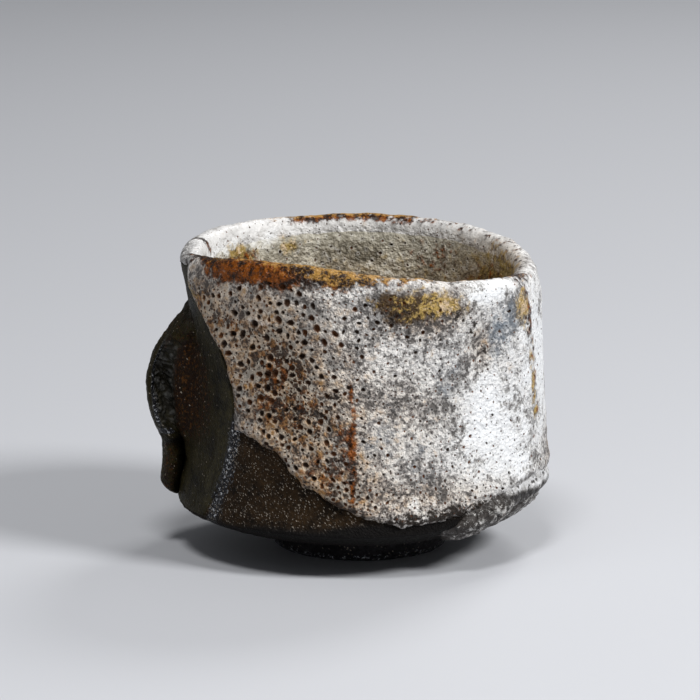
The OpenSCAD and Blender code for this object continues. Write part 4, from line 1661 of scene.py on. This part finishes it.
@dataclass
class PinchedFold:
    """The fold of clay pressed onto the left facet: a thin lip that curls to the front round a thumb hollow.

    Each section is a row of places in plan at one height. It leaves the facet near the front ridge, crosses the
    swelling beside the hollow, dips into the hollow, rises to the lip, and goes round it and back to the wall.
    """

    profile: Profile
    columns: int = 300
    row_count: int = 250
    root: float = 0.12
    back_angle: float = 152.0
    leads: tuple[float, float, float] = (5.0, 11.0, 17.0)
    top: float = 45.8
    low: float = 8.75
    sections: tuple[tuple[float, Pairs], ...] = (
        (10.2, ((-32.4, -5.6), (-33.4, -4.0), (-33.7, -1.2), (-34.0, -2.6), (-34.5, -3.4), (-35.0, -2.7),
                (-35.3, -1.2), (-35.2, 1.5), (-34.4, 6.0), (-32.4, 10.5))),
        (12.4, ((-31.9, -6.0), (-33.0, -4.2), (-33.4, 0.6), (-33.9, -3.2), (-34.7, -4.8), (-35.8, -4.4),
                (-36.7, -2.8), (-36.8, 0.2), (-35.6, 5.6), (-33.0, 10.4))),
        (15.6, ((-31.0, -6.6), (-32.0, -4.4), (-32.6, 1.2), (-33.3, -3.4), (-34.1, -5.4), (-35.3, -5.4),
                (-36.3, -3.6), (-36.6, -0.8), (-35.5, 5.2), (-33.0, 10.2))),
        (19.4, ((-30.9, -7.2), (-32.1, -4.8), (-32.8, 0.4), (-33.5, -3.2), (-34.3, -5.0), (-35.4, -4.8),
                (-36.3, -3.2), (-36.6, -0.8), (-35.6, 5.0), (-33.2, 10.0))),
        (21.5, ((-30.8, -7.8), (-32.2, -6.4), (-33.2, -4.2), (-33.8, -5.4), (-34.8, -6.4), (-36.0, -5.8),
                (-36.9, -4.0), (-37.2, -1.2), (-36.2, 4.8), (-33.6, 9.9))),
        (23.5, ((-30.7, -8.3), (-32.8, -6.9), (-34.2, -4.0), (-35.0, -4.8), (-36.0, -6.4), (-37.2, -5.8),
                (-37.8, -4.0), (-38.0, -1.2), (-36.8, 4.6), (-34.0, 9.8))),
        (26.5, ((-30.6, -8.5), (-33.4, -6.7), (-34.6, -1.8), (-36.0, -1.2), (-37.3, -4.6), (-38.2, -5.2),
                (-38.8, -3.8), (-38.9, -1.2), (-37.6, 4.5), (-34.4, 9.7))),
        (30.0, ((-30.6, -8.4), (-33.6, -6.4), (-34.9, -0.8), (-36.6, 0.2), (-37.9, -2.6), (-38.7, -4.2),
                (-39.2, -3.4), (-39.3, -1.0), (-38.2, 4.4), (-34.8, 9.6))),
        (33.2, ((-30.5, -8.2), (-33.4, -6.3), (-34.8, -1.4), (-36.5, -0.4), (-37.7, -2.4), (-38.5, -3.8),
                (-39.0, -3.0), (-39.1, -0.8), (-38.0, 4.4), (-34.6, 9.6))),
        (36.6, ((-30.3, -8.0), (-32.8, -6.6), (-34.2, -3.6), (-35.6, -2.4), (-36.7, -2.6), (-37.4, -3.2),
                (-37.9, -2.4), (-38.0, -0.4), (-36.8, 4.4), (-33.8, 9.6))),
        (40.0, ((-30.0, -8.0), (-31.7, -6.8), (-33.0, -5.4), (-34.0, -4.2), (-34.8, -3.2), (-35.4, -2.2),
                (-35.8, -1.0), (-35.8, 0.8), (-34.9, 5.2), (-32.4, 10.2))),
        (42.8, ((-29.6, -8.6), (-30.8, -7.0), (-31.7, -5.4), (-32.4, -4.0), (-32.9, -2.6), (-33.3, -1.2),
                (-33.5, 0.2), (-33.5, 2.0), (-32.9, 6.0), (-31.2, 10.6))),
    )

    def wall(self, angle: Array, height: Array, lift: float) -> Array:
        """Return places at a distance outside the clay, by angle and height."""
        run = self.profile.run_at(angle, height)
        return self.profile.points(angle, run) + self.profile.normals(angle, run) * lift

    def frame(self) -> Array:
        """Set out the places that the fold's face goes through.

        Returns:
            A net of them, from the base up and from the front round to the back.
        """
        rows = []
        count = len(self.sections[0][1]) + len(self.leads) + 1
        for height, middle in ((self.low, None), *self.sections, (self.top, None)):
            ridge = float(np.interp(height, *zip(*RIDGE)))
            if middle is None:
                angles = np.concatenate([ridge - np.array(self.leads),
                                         np.linspace(ridge - 24, self.back_angle, count - len(self.leads))])
                rows.append(self.wall(angles, np.full(count, height), self.root))
                continue
            leads = self.wall(ridge - np.array(self.leads), np.full(3, height), self.root + 0.15)
            back = self.wall(np.array([self.back_angle]), np.array([height]), self.root)
            body = np.array([(x, y, height) for x, y in middle])
            rows.append(np.vstack([leads, body, back]))
        return np.array(rows)

    def build(self) -> bpy.types.Object:
        """Make the mesh.

        Returns:
            The piece.
        """
        knots = self.frame()
        net = through_points(knots, self.row_count)
        net = np.swapaxes(through_points(np.swapaxes(net, 0, 1), self.columns), 0, 1)
        along = np.linspace(0, knots.shape[1] - 1, self.columns) + np.zeros((self.row_count, 1))
        height = net[:, :, 2]
        flat = net.reshape(-1, 3)
        faces = grid_faces(self.row_count, self.columns)
        faces = [face[::-1] for face in faces]
        triangles = np.array([tri for a, b, c, d in faces for tri in ((a, b, c), (a, c, d))])
        normal = vertex_normals(flat, triangles)
        side, up = along.ravel(), height.ravel()
        rim = border_fade(self.row_count, self.columns)
        away = np.minimum.reduce([side, side.max() - side, (self.top - up) / 1.2, (up - self.low) / 1.2])
        fade = smooth(away, 0, 1)

        hollow = band(side, 4.0, 4.9, 7.0, 7.7) * band(up, 22, 26, 36, 39.5)
        shoulder = smooth(side, 1.5, 3.2) * (1 - 0.7 * smooth(side, 5.4, 7.4)) * smooth(up, 36, 39)
        warp = flat + 1.1 * np.column_stack([GRAIN(flat + k, 4.0) for k in (0, 30, 60)])
        fold_lines = np.abs(GRAIN.layers(warp * [0.8, 0.8, 1.8], 1.9, 2))
        level_lines = np.abs(GRAIN.layers(warp * [0.5, 0.5, 2.2], 3.4, 2))
        crease = bell(up, 38.6 + 0.9 * GRAIN(flat, 6), 0.5) * smooth(side, 2.5, 4.0) * (side < 9.5)
        wrinkles = (0.9 * (fold_lines - 0.22) * hollow + 1.2 * (level_lines - 0.2) * shoulder - 0.06 * crease
                    + 0.30 * GRAIN.layers(flat, 3.0) * smooth(side, 2.6, 4.0) + 0.07 * GRAIN(flat, 0.8))
        swell = band(side, 1.0, 3.6, 4.2, 4.9) * band(up, 18, 27, 35, 43)
        wrinkles += 0.22 * np.abs(GRAIN.layers(flat + 50, 1.7, 3)) * swell
        front = flat + normal * ((wrinkles * fade + 0.12 * fade) * rim - 0.2 * (1 - fade))[:, None]

        share = np.linspace(0, 1, self.columns) + np.zeros((self.row_count, 1))
        ridge = np.interp(height, *zip(*RIDGE)) - self.leads[0]
        angles = (ridge + (self.back_angle - ridge) * share).ravel()
        behind = self.wall(angles, up, -0.6)
        back = front * (1 - rim[:, None]) + behind * rim[:, None]
        shape = (self.row_count, self.columns, 3)
        points, shell = shut(front.reshape(shape), back.reshape(shape))
        shell = [face[::-1] for face in shell]
        lip = bell(side, 7.55, 0.3) * band(up, 22.5, 24.5, 36, 41)
        end = bell(up, 22.4, 0.6) * band(side, 5.6, 6.4, 8.6, 9.2)
        # Painted highlights on the lip's edge, its lower end and the hollow's wrinkles.
        worn = np.clip(1.1 * lip + 0.9 * end + 0.3 * hollow * smooth(fold_lines, 0.16, 0.40), 0, 1)
        # Painted grey sheen on the lip's edge and the hollow's wrinkles.
        grey_sheen = np.maximum(hollow * (0.12 + 0.8 * smooth(fold_lines, 0.10, 0.42)), 0.9 * lip)
        # Painted shade in the pinch, in the gap beside the hollow, in the crease and under the lip's lower end.
        pinch = bell(side, 5.0, 0.42) * band(up, 10.2, 12, 20.4, 21.6)
        gap = bell(side, 5.4, 0.5) * band(up, 23.5, 26, 31, 36) * 0.6
        deep = np.clip(pinch * 1.2 + gap + 0.25 * crease * (side < 8), 0, 1)
        under = bell(up, 20.6, 0.7) * band(side, 4.4, 5.2, 7.8, 8.6)
        deep = np.maximum(deep, 0.9 * under)
        brown = np.clip(swell * 1.2 + 0.5 * band(side, 6.2, 7.2, 8.8, 9.4) * (up < 20)
                        + 0.3 * smooth(up, 35, 40) * smooth(side, 2, 4), 0, 1)
        layers = {"worn": worn, "deep": deep, "brown": brown, "grey_sheen": grey_sheen}
        return make_mesh("pinched_clay_fold", points, shell, **{key: np.tile(x, 2) for key, x in layers.items()})


@dataclass
class GlazeRoll:
    """The crusted roll of glaze and grit along the right base edge."""

    profile: Profile
    first_angle: float = 299.0
    last_angle: float = 371.0
    columns: int = 230
    row_count: int = 60
    thick: float = 1.5
    low_height: float = 5.3
    tops: Pairs = ((290, 10.2), (300, 11.2), (306, 11.9), (318, 13.9), (330, 16.0), (348, 17.0), (365, 16.9),
                   (375, 16.9))

    def build(self) -> bpy.types.Object:
        """Make the mesh.

        Returns:
            The piece.
        """
        part = np.linspace(0, 1, self.row_count)[:, None] + np.zeros(self.columns)
        angles = np.linspace(self.first_angle, self.last_angle, self.columns)
        tops = np.interp(angles, *zip(*self.tops))
        high = self.profile.run_at(angles, tops)
        low = self.profile.run_at(angles, np.full(self.columns, self.low_height))
        ends = np.minimum(smooth(angles, self.first_angle, self.first_angle + 9),
                          1 - smooth(angles, self.last_angle - 14, self.last_angle))
        middle = (low + high) / 2 + 1
        low, high = middle + (low - middle) * (0.25 + 0.75 * ends), middle + (high - middle) * (0.25 + 0.75 * ends)
        run = (low + (high - low) * part).ravel()
        angle = (angles + np.zeros((self.row_count, 1))).ravel()
        place, normal = self.profile.points(angle, run), self.profile.normals(angle, run)
        share = part.ravel()
        hump = (4 * share * (1 - share)) ** 0.45 * (0.7 + 0.6 * share)
        flush = smooth(angle, 320, 330)
        hump = hump * (1 - flush * smooth(share, 0.6, 0.72) * (0.3 + 0.4 * smooth(share, 0.8, 1.0)))
        fade = np.tile(0.25 + 0.75 * ends, self.row_count)
        lumps = 0.55 * GRAIN.layers(place + 2, 3.1, 4) + 0.3 * np.abs(GRAIN(place + 8, 1.6))
        crack = np.abs(GRAIN.layers(place + 31, 4.2, 2))
        crack = (1 - smooth(crack, 0.0, 0.07)) * smooth(share, 0.15, 0.4)
        rise = hump * fade * np.clip(self.thick + lumps * 1.2 - 0.55 * crack, 0.25, 3)
        rim = border_fade(*part.shape)
        front = place + normal * (rise * rim - 0.08)[:, None]
        back = place - normal * (0.08 + 0.2 * rim)[:, None]
        points, faces = shut(front.reshape(*part.shape, 3), back.reshape(*part.shape, 3))
        # High on the lumps' tops and the roll's upper part, low in hollows and on its lower side; the finish paints it
        # as highlight and shade.
        crown = np.clip(0.5 + lumps * 0.9, 0, 1) * smooth(share, 0.15, 0.45)
        level = place[:, 2] + 0.35 * lumps
        white = flush * smooth(level, 12.9, 13.6)
        # Painted shade: a near-black line in the groove under the glaze's lower border.
        line = bell(level, 12.6, 0.42) * smooth(angle, 319, 327) * (1 - 0.6 * smooth(angle, 338, 350))
        crack = np.maximum(crack * (1 - white), line)
        layers = {"crown": crown, "crack": crack, "glazed": white}
        return make_mesh("crusted_glaze_roll", points, faces, **{key: np.tile(x, 2) for key, x in layers.items()})


@dataclass
class FootRing:
    """The trimmed ring under the cup, with wear along the edge that it stands on and a silver band there that is part
    wear, part painted highlight.
    """

    columns: int = 420
    section: Pairs = ((11.4, 4.9), (11.5, 2.6), (11.75, 0.75), (12.3, 0.05), (13.4, 0.0), (14.7, 0.0), (15.35, 0.06),
                      (15.85, 0.5), (16.0, 1.1), (16.05, 2.2), (16.3, 3.2), (16.9, 4.1), (17.3, 4.9))
    step: float = 0.22
    wobble: float = 0.28
    groove: float = 0.09

    def build(self) -> bpy.types.Object:
        """Make the mesh.

        Returns:
            The piece.
        """
        line = resample(np.array(self.section), self.step)[::-1]
        angle = np.radians(np.arange(self.columns) * 360 / self.columns)
        radius, height = (line[:, k][:, None] + 0 * angle for k in (0, 1))
        ring = np.column_stack([np.cos(angle), np.sin(angle), 0 * angle]) * 16
        outside = radius > 14
        radius = radius + self.wobble * GRAIN(ring, 14) * np.where(outside, 1, 0.5)
        radius += self.groove * np.sin(height * 6.5 + 1.2 * GRAIN(ring, 20)) * smooth(height, 0.5, 1.2) * outside
        place = np.column_stack([(radius * np.cos(angle)).ravel(), (radius * np.sin(angle)).ravel(), height.ravel()])
        lumps = 0.10 * GRAIN.layers(place, 1.6) + 0.12 * GRAIN(place + 4, 4.0)
        out = np.column_stack([np.tile(np.cos(angle), len(line)), np.tile(np.sin(angle), len(line)),
                               np.zeros(height.size)])
        place += out * (lumps * np.where(outside.ravel(), 1, -1))[:, None]
        place[:, 2] = np.maximum(place[:, 2] + np.abs(lumps) * (place[:, 2] < 0.5), 0)
        faces = grid_faces(len(line), self.columns, closed=True)
        last = (len(line) - 1) * self.columns
        for k in range(self.columns):
            after = (k + 1) % self.columns
            faces.append((last + k, last + after, after, k))
        # Silver band along the standing edge: part wear, part painted highlight.
        worn = smooth(-place[:, 2], -2.0, -0.4) * smooth(np.hypot(place[:, 0], place[:, 1]), 14.4, 15.4)
        return make_mesh("trimmed_foot_ring", place, faces, worn=worn, deep=np.zeros(len(place)))


@dataclass(frozen=True)
class Stains:
    """Where the fire and the slip coloured the glaze outside, over the lip and inside, and where highlight and shade
    are painted on it.
    """

    iron: tuple[Spot | Streak, ...] = (
        Streak(((266.6, 37), (267.8, 31), (266.8, 26), (268.0, 20), (267.4, 15)), 0.5, 0.8),
        Streak(((336.5, 51), (338.5, 46), (340.5, 40), (342.5, 34), (344.5, 27)), 0.7, 0.55),
        Spot(265.5, 26, 1.8, 3.6, 0.55), Spot(242, 38.4, 3.6, 3.2, 0.55), Spot(238.5, 31.5, 2.8, 4.2, 0.5),
        Spot(250.5, 31, 4.5, 3.6, 0.42), Spot(258, 20, 5, 4, 0.42), Spot(338, 44.5, 1.4, 4.0, 0.5),
        Spot(225, 46, 3, 2.4, 0.42),
        Spot(52, 34, 4, 6, 0.42), Spot(118, 40, 4, 5, 0.4), Spot(130, 26, 5, 5, 0.45), Spot(40, 22, 6, 3, 0.4),
        Streak(((103, 48), (103.5, 36), (102, 24)), 0.5, 0.6), Streak(((62, 46), (60.5, 33), (61, 21)), 0.45, 0.55),
        Streak(((14, 46), (13, 33), (14, 22)), 0.4, 0.4),
    )
    olive: tuple[Spot | Streak, ...] = (
        Spot(282, 49.6, 3.6, 2.8, 0.9), Spot(289, 50.2, 3.4, 2.6, 1.05), Spot(297, 50.0, 4.0, 2.4, 0.95),
        Spot(304, 48.8, 2.4, 1.8, 0.6), Spot(278, 51.4, 3.0, 1.6, 0.7), Spot(206, 50.5, 2.6, 1.8, 0.6),
        Spot(333, 47, 3.2, 3.0, 0.62),
        Streak(((335.2, 50), (336.9, 45), (339.0, 39), (341.0, 33), (342.8, 27)), 1.9, 0.6),
        Spot(44, 50.5, 6, 2.2, 0.7), Spot(124, 52.0, 6, 2.6, 0.75), Spot(96, 22, 7, 3, 0.35),
    )
    tan: tuple[Spot | Streak, ...] = (
        Spot(290, 50.4, 4.0, 3.0, 0.5), Spot(299, 50.0, 3.6, 3.0, 0.9), Spot(333, 47, 3.4, 3.0, 0.8),
        Streak(((335.5, 50), (337.3, 45), (339.4, 39), (341.4, 33), (343.2, 27)), 1.6, 0.4),
        Spot(44, 50, 9, 5, 0.5), Spot(124, 50, 9, 5, 0.5), Spot(206, 50, 6, 4, 0.5),
    )
    # The spot at 324 degrees is painted shade in the thumb dent; the others are the glaze's bluish grey tint.
    blue: tuple[Spot | Streak, ...] = (
        Spot(324, 44.5, 3.6, 6.0, 0.8, -10), Spot(276, 27, 5.0, 6.0, 0.40), Spot(300, 37, 6, 5, 0.3),
        Spot(294, 22, 6, 5, 0.24), Spot(78, 40, 6, 5, 0.45), Spot(34, 44, 4, 4, 0.5), Spot(10, 30, 5, 9, 0.3),
    )
    # Whiter glaze; the spots from 313 to 353 degrees, on the right front facet and its lip, also stand for painted
    # highlight where the light falls.
    white: tuple[Spot | Streak, ...] = (
        Spot(318, 27, 7, 9, 0.95), Spot(331, 20, 5, 5, 0.85), Spot(313, 50.8, 4.5, 2.2, 0.85),
        Spot(322, 51.8, 5, 2.2, 0.9), Spot(340, 40, 5, 10, 0.75), Spot(288, 14, 8, 2.2, 0.3),
        Spot(236, 47, 5, 3, 0.28), Spot(353, 36, 8, 14, 0.9), Spot(18, 38, 6, 9, 0.6), Spot(70, 28, 6, 7, 0.6),
        Spot(90, 46, 7, 4, 0.6), Spot(128, 46, 4, 4, 0.4),
    )
    soot: tuple[Spot | Streak, ...] = (
        Spot(268, 12.6, 5, 1.4, 0.55), Spot(284, 11.0, 7, 1.5, 0.66), Spot(298, 11.6, 7, 1.7, 0.7),
        Spot(312, 12.8, 6, 1.5, 0.55), Spot(257, 30.5, 1.8, 1.5, 0.5), Spot(262, 34, 1.8, 2.0, 0.4),
        Spot(281, 49.0, 2.0, 2.2, 0.62), Spot(250, 18.0, 3.4, 1.3, 0.45), Spot(248, 31, 4.0, 2.4, 0.4),
        Spot(240, 24.0, 4.0, 1.3, 0.35), Spot(30, 16.5, 10, 1.6, 0.6), Spot(60, 17.0, 10, 1.6, 0.6),
        Spot(90, 15.8, 12, 1.6, 0.6), Spot(120, 19.0, 12, 1.8, 0.6), Spot(140, 22.0, 6, 2, 0.6),
        Spot(337, 44, 1.2, 4.0, 0.42), Spot(316.5, 39.8, 2.4, 2.4, 0.5), Spot(311, 45, 1.6, 4.0, 0.42),
        Spot(304, 48.2, 1.8, 1.6, 0.5),
    )
    murk: tuple[Spot | Streak, ...] = (
        Spot(236, 42, 15, 13, 0.75), Spot(250, 28, 11, 10, 0.8), Spot(262, 17, 8, 6, 0.7), Spot(246, 36, 4, 5, 0.6),
        Spot(286, 30, 9, 10, 0.2), Spot(290, 15, 14, 3.4, 0.35), Spot(292, 49, 8, 4, 0.55), Spot(316, 41, 4, 4, 0.3),
        Spot(212, 47, 6, 6, 0.8), Spot(30, 34, 12, 12, 0.55), Spot(50, 20, 16, 4, 0.75), Spot(84, 36, 8, 10, 0.35),
        Spot(88, 19, 18, 3.5, 0.7), Spot(124, 36, 10, 12, 0.7), Spot(124, 22, 14, 4, 0.8), Spot(10, 18, 10, 4, 0.5),
    )
    # Brown staining inside; the strong spot at 20 degrees is also painted shade on the inner wall at the right.
    inner_stain_and_shade: tuple[Spot | Streak, ...] = (
        Spot(90, 40, 26, 9, 0.5), Spot(20, 44, 16, 9, 0.95), Spot(330, 42, 16, 10, 0.8), Spot(230, 38, 30, 12, 0.5),
        Spot(150, 42, 14, 6, 0.6), Spot(90, 16, 60, 9, 0.6), Spot(270, 16, 60, 9, 0.6),
    )
    inner_iron: tuple[Spot | Streak, ...] = (
        Spot(137, 50.4, 3, 1.4, 0.6), Spot(60, 50, 7, 4, 0.4), Spot(28, 46, 8, 5, 0.45), Spot(300, 44, 9, 6, 0.35),
    )
    inner_olive: tuple[Spot | Streak, ...] = (
        Spot(141, 51.0, 5, 2.2, 0.95), Spot(118, 51.6, 3, 1.8, 0.8), Spot(158, 46, 6, 4, 0.5),
        Spot(20, 47, 10, 6, 0.85), Spot(358, 46, 8, 6, 0.75), Spot(40, 42, 9, 5, 0.5), Spot(110, 42, 10, 4, 0.4),
        Spot(230, 40, 12, 8, 0.5), Spot(300, 30, 14, 8, 0.4),
    )
    inner_tan: tuple[Spot | Streak, ...] = (
        Spot(141, 51, 8, 4, 0.5), Spot(118, 51, 6, 4, 0.6), Spot(10, 46, 20, 9, 0.55), Spot(110, 42, 14, 6, 0.6),
    )
    inner_white: tuple[Spot | Streak, ...] = (
        Spot(150, 52.5, 9, 2.6, 0.4), Spot(172, 51.5, 6, 2.6, 0.4), Spot(128, 53.6, 8, 2.0, 0.4),
        Spot(84, 44, 12, 5, 0.3), Spot(250, 48, 14, 5, 0.4),
    )

    lip_reach: Pairs = ((0, 1.2), (20, 1.6), (45, 2.4), (75, 3.0), (100, 3.2), (125, 2.4), (150, 2.0), (172, 1.4),
                        (190, 1.8), (206, 2.0), (213, 2.4), (219, 4.6), (234, 5.2), (246, 4.8), (257, 3.6), (268, 2.8),
                        (276, 2.0), (284, 1.2), (296, 0.9), (318, 0.6), (332, 1.6), (338, 2.2), (346, 1.2))
    lip_fired: Pairs = ((0, 0.3), (60, 0.5), (100, 0.5), (150, 0.35), (190, 0.1), (208, 0.15), (215, 0.6), (224, 0.9),
                       (242, 0.85), (252, 0.45), (264, 0.25), (284, 0.2), (330, 0.25))
    lip_gold: Pairs = ((0, 0.3), (60, 0.7), (78, 1.1), (112, 1.1), (150, 0.5), (190, 0.2), (208, 0.2), (216, 0.75),
                       (246, 0.85), (254, 0.95), (290, 0.95), (320, 0.5))
    lip_strength: Pairs = ((0, 0.35), (30, 0.25), (56, 0.35), (72, 0.7), (84, 1.0), (108, 1.0), (118, 0.4), (128, 0.12),
                           (180, 0.12), (189, 1.0), (216, 1.1), (270, 1.1), (290, 0.9), (318, 0.6), (338, 0.9),
                           (348, 0.35))
    crease_angle: float = 163.0

    def layers(self, angle: Array, height: Array, run: Array) -> dict[str, Array]:
        """Read every stain.

        Args:
            angle: Angle of each place on the glaze.
            height: Its height.
            run: Its length along the outline.

        Returns:
            How much of each stain lies at each place, by layer.
        """
        inside = smooth(run, -1.0, 1.6)
        none = np.zeros(len(angle))
        inner = {"iron": self.inner_iron, "olive": self.inner_olive, "tan": self.inner_tan,
                 "white": self.inner_white, "murk": self.inner_stain_and_shade}
        result = {}
        for key in ("iron", "olive", "tan", "blue", "white", "soot", "murk"):
            within = paint(inner[key], angle, height) if key in inner else none
            result[key] = paint(getattr(self, key), angle, height) * (1 - inside) + within * inside
        turn = np.radians(angle)
        ring = np.column_stack([np.cos(turn) * UNROLL, np.sin(turn) * UNROLL, run])
        reach = turn_table(angle, self.lip_reach) + 0.9 * GRAIN.layers(ring, 4.0)
        lip = band(run, -reach - 2.0, -reach + 1.6, 0.8, 2.6)
        result["iron"] = np.maximum(result["iron"], turn_table(angle, self.lip_strength) * lip)
        result["fired"] = turn_table(angle, self.lip_fired) * lip + 0.68 * (1 - lip)
        spread = 1.5 + 1.9 * bell(turn_gap(angle, 259), 0, 13)
        result["gold"] = turn_table(angle, self.lip_gold) * bell(run, -0.6, spread)
        result["calm"] = bell(run, 0.9, 3.2)
        crease = bell(turn_gap(angle, self.crease_angle), 0, 1.9) * band(run, -2.6, -1.2, 2, 3.4)
        result["soot"] = np.maximum(result["soot"], 0.62 * crease)
        result["iron"] = np.maximum(result["iron"], 0.8 * crease)
        return result


@dataclass
class Cup:
    """The whole cup: its pieces, what each stands for and its finish."""

    effects: Effects

    def place(self, piece: bpy.types.Object, node: str, slot: Slot, finish: bpy.types.Material) -> None:
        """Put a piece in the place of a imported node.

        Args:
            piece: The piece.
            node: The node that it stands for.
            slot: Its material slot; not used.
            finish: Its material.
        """
        piece.data.materials.append(finish)
        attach(piece, "root")
        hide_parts(node)
        LOG.info("%s: %d faces", piece.name, len(piece.data.polygons))

    def build(self) -> None:
        """Build and dress every piece."""
        profile = Profile()
        glaze = Glaze(profile)
        stains = Stains()
        slots = {"outer_glaze": Slot.WHITE, "lip_glaze": Slot.LIP, "inner_glaze": Slot.INNER}
        names = {"outer_glaze": "white_outer_glaze", "lip_glaze": "burnt_lip_glaze", "inner_glaze": "bowl_glaze"}
        finishes = {node: GlazeFinish(name) for node, name in names.items()}
        finishes["inner_glaze"] = GlazeFinish(
            names["inner_glaze"], clouds=0.6, contrast=0.45, lightness=0.49, wash=(0.62, 0.46, 0.18, 1),
            low=(0.15, 0.135, 0.10, 1), dull=(0.31, 0.29, 0.23, 1), pale=(0.63, 0.60, 0.51, 1),
            umber=(0.12, 0.075, 0.02, 1), olive=(0.36, 0.25, 0.08, 1), pinprick_share=0.12, lump_height=0.5)
        for node, sheet in glaze.build().items():
            layers = stains.layers(angle_of(sheet.across), sheet.points[:, 2], sheet.run)
            piece = make_mesh(names[node], sheet.points, sheet.faces, sheet.shade, **layers, **sheet.pits)
            self.place(piece, node, slots[node], finishes[node].material(self.effects))
        bare = ClayFinish("bare_stoneware", (0.006, 0.0034, 0.0012, 1), (0.050, 0.027, 0.010, 1), bump_height=0.6,
                          glint_share=0.95, fineness=3.8)
        foot = ClayFinish("foot_stoneware", (0.008, 0.0075, 0.008, 1), (0.034, 0.032, 0.034, 1), glint_share=0.3)
        crust = CrustFinish("crusted_glaze")
        slip = ClayFinish("iron_slip", (0.003, 0.0024, 0.0008, 1), (0.045, 0.037, 0.014, 1), glint_share=0.04,
                          shine_low=0.3, shine_high=0.55, bump_height=0.35)
        folded = ClayFinish("fold_clay", (0.005, 0.0036, 0.0008, 1), (0.032, 0.025, 0.006, 1), glint_share=0.1,
                            shine_low=0.28, shine_high=0.55, bump_height=0.4)
        self.place(ClayBody(profile, glaze).build(), "clay_body", Slot.CLAY, bare.material(self.effects))
        self.place(SlipCoat(profile).build(), "iron_slip", Slot.SLIP, slip.material(self.effects))
        self.place(PinchedFold(profile).build(), "pinched_fold", Slot.FOLD, folded.material(self.effects))
        self.place(GlazeRoll(profile).build(), "glaze_roll", Slot.CRUST, crust.material(self.effects))
        self.place(FootRing().build(), "foot_ring", Slot.FOOT, foot.material(self.effects))


@dataclass(frozen=True)
class Lamp:
    """A soft lamp aimed at the cup: its direction and height in degrees, distance and size in metres, and power."""

    name: str
    turn: float
    rise: float
    away: float
    size: float
    power: float

    def build(self) -> None:
        """Hang the lamp."""
        data = bpy.data.lights.new(self.name, "AREA")
        data.shape, data.size, data.energy = "DISK", self.size, self.power
        lamp = bpy.data.objects.new(self.name, data)
        turn, rise = math.radians(self.turn), math.radians(self.rise)
        way = Vector((math.cos(turn) * math.cos(rise), math.sin(turn) * math.cos(rise), math.sin(rise)))
        lamp.location = way * self.away + Vector((0, 0, 0.03))
        lamp.rotation_euler = way.to_track_quat("Z", "Y").to_euler()
        bpy.context.scene.collection.objects.link(lamp)


@dataclass(frozen=True)
class Studio:
    """The pale floor, the soft lamps and the camera."""

    floor_colour: Colour = (0.60, 0.61, 0.64, 1)
    air_colour: Colour = (0.86, 0.88, 0.92, 1)
    air_strength: float = 0.17
    lamps: tuple[Lamp, ...] = (
        Lamp("key", -33, 40, 1.1, 0.3, 9.2),
        Lamp("top", -100, 62, 1.1, 0.3, 4.8),
        Lamp("rim", 62, 42, 1.2, 0.4, 4.2),
    )
    target: tuple[float, float, float] = (-1.85, 0.0, 36.4)
    rise: float = 11.0
    away: float = 800.0
    lens: float = 222.4

    def build(self) -> None:
        """Set up everything that isn't part of the cup."""
        self.floor()
        self.air()
        for lamp in self.lamps:
            lamp.build()
        self.camera()

    def floor(self) -> None:
        """Lay the floor."""
        half = 6.0
        mesh = bpy.data.meshes.new("floor")
        mesh.from_pydata([(-half, -half, 0), (half, -half, 0), (half, half, 0), (-half, half, 0)], [], [(0, 1, 2, 3)])
        floor = bpy.data.objects.new("floor", mesh)
        made = bpy.data.materials.new("floor")
        made.use_nodes = True
        g = Graph(made.node_tree)
        shader = g.node("ShaderNodeBsdfPrincipled", {"Base Color": self.floor_colour, "Roughness": 0.6})
        g.node("ShaderNodeOutputMaterial", {"Surface": shader.outputs[0]})
        mesh.materials.append(made)
        bpy.context.scene.collection.objects.link(floor)

    def air(self) -> None:
        """Light the cup evenly from all round."""
        world = bpy.data.worlds.new("studio_air")
        world.use_nodes = True
        g = Graph(world.node_tree)
        shader = g.node("ShaderNodeBackground", {"Color": self.air_colour, "Strength": self.air_strength})
        g.node("ShaderNodeOutputWorld", {"Surface": shader.outputs[0]})
        bpy.context.scene.world = world

    def camera(self) -> None:
        """Set the camera at the photograph's angle."""
        data = bpy.data.cameras.new("camera")
        data.sensor_width, data.lens = 36, self.lens
        data.clip_start, data.clip_end = 0.01, 50
        camera = bpy.data.objects.new("camera", data)
        rise = math.radians(self.rise)
        back = Vector((0, -math.cos(rise), math.sin(rise)))
        camera.location = (Vector(self.target) + back * self.away) * MM
        camera.rotation_euler = back.to_track_quat("Z", "Y").to_euler()
        bpy.context.scene.collection.objects.link(camera)
        bpy.context.scene.camera = camera
        bpy.context.scene.view_settings.view_transform = "Standard"


def main() -> None:
    """Build the cup and the studio."""
    logging.basicConfig(level=logging.INFO, format="%(message)s")
    Cup(Effects()).build()
    Studio().build()


if __name__ == "__main__":
    main()
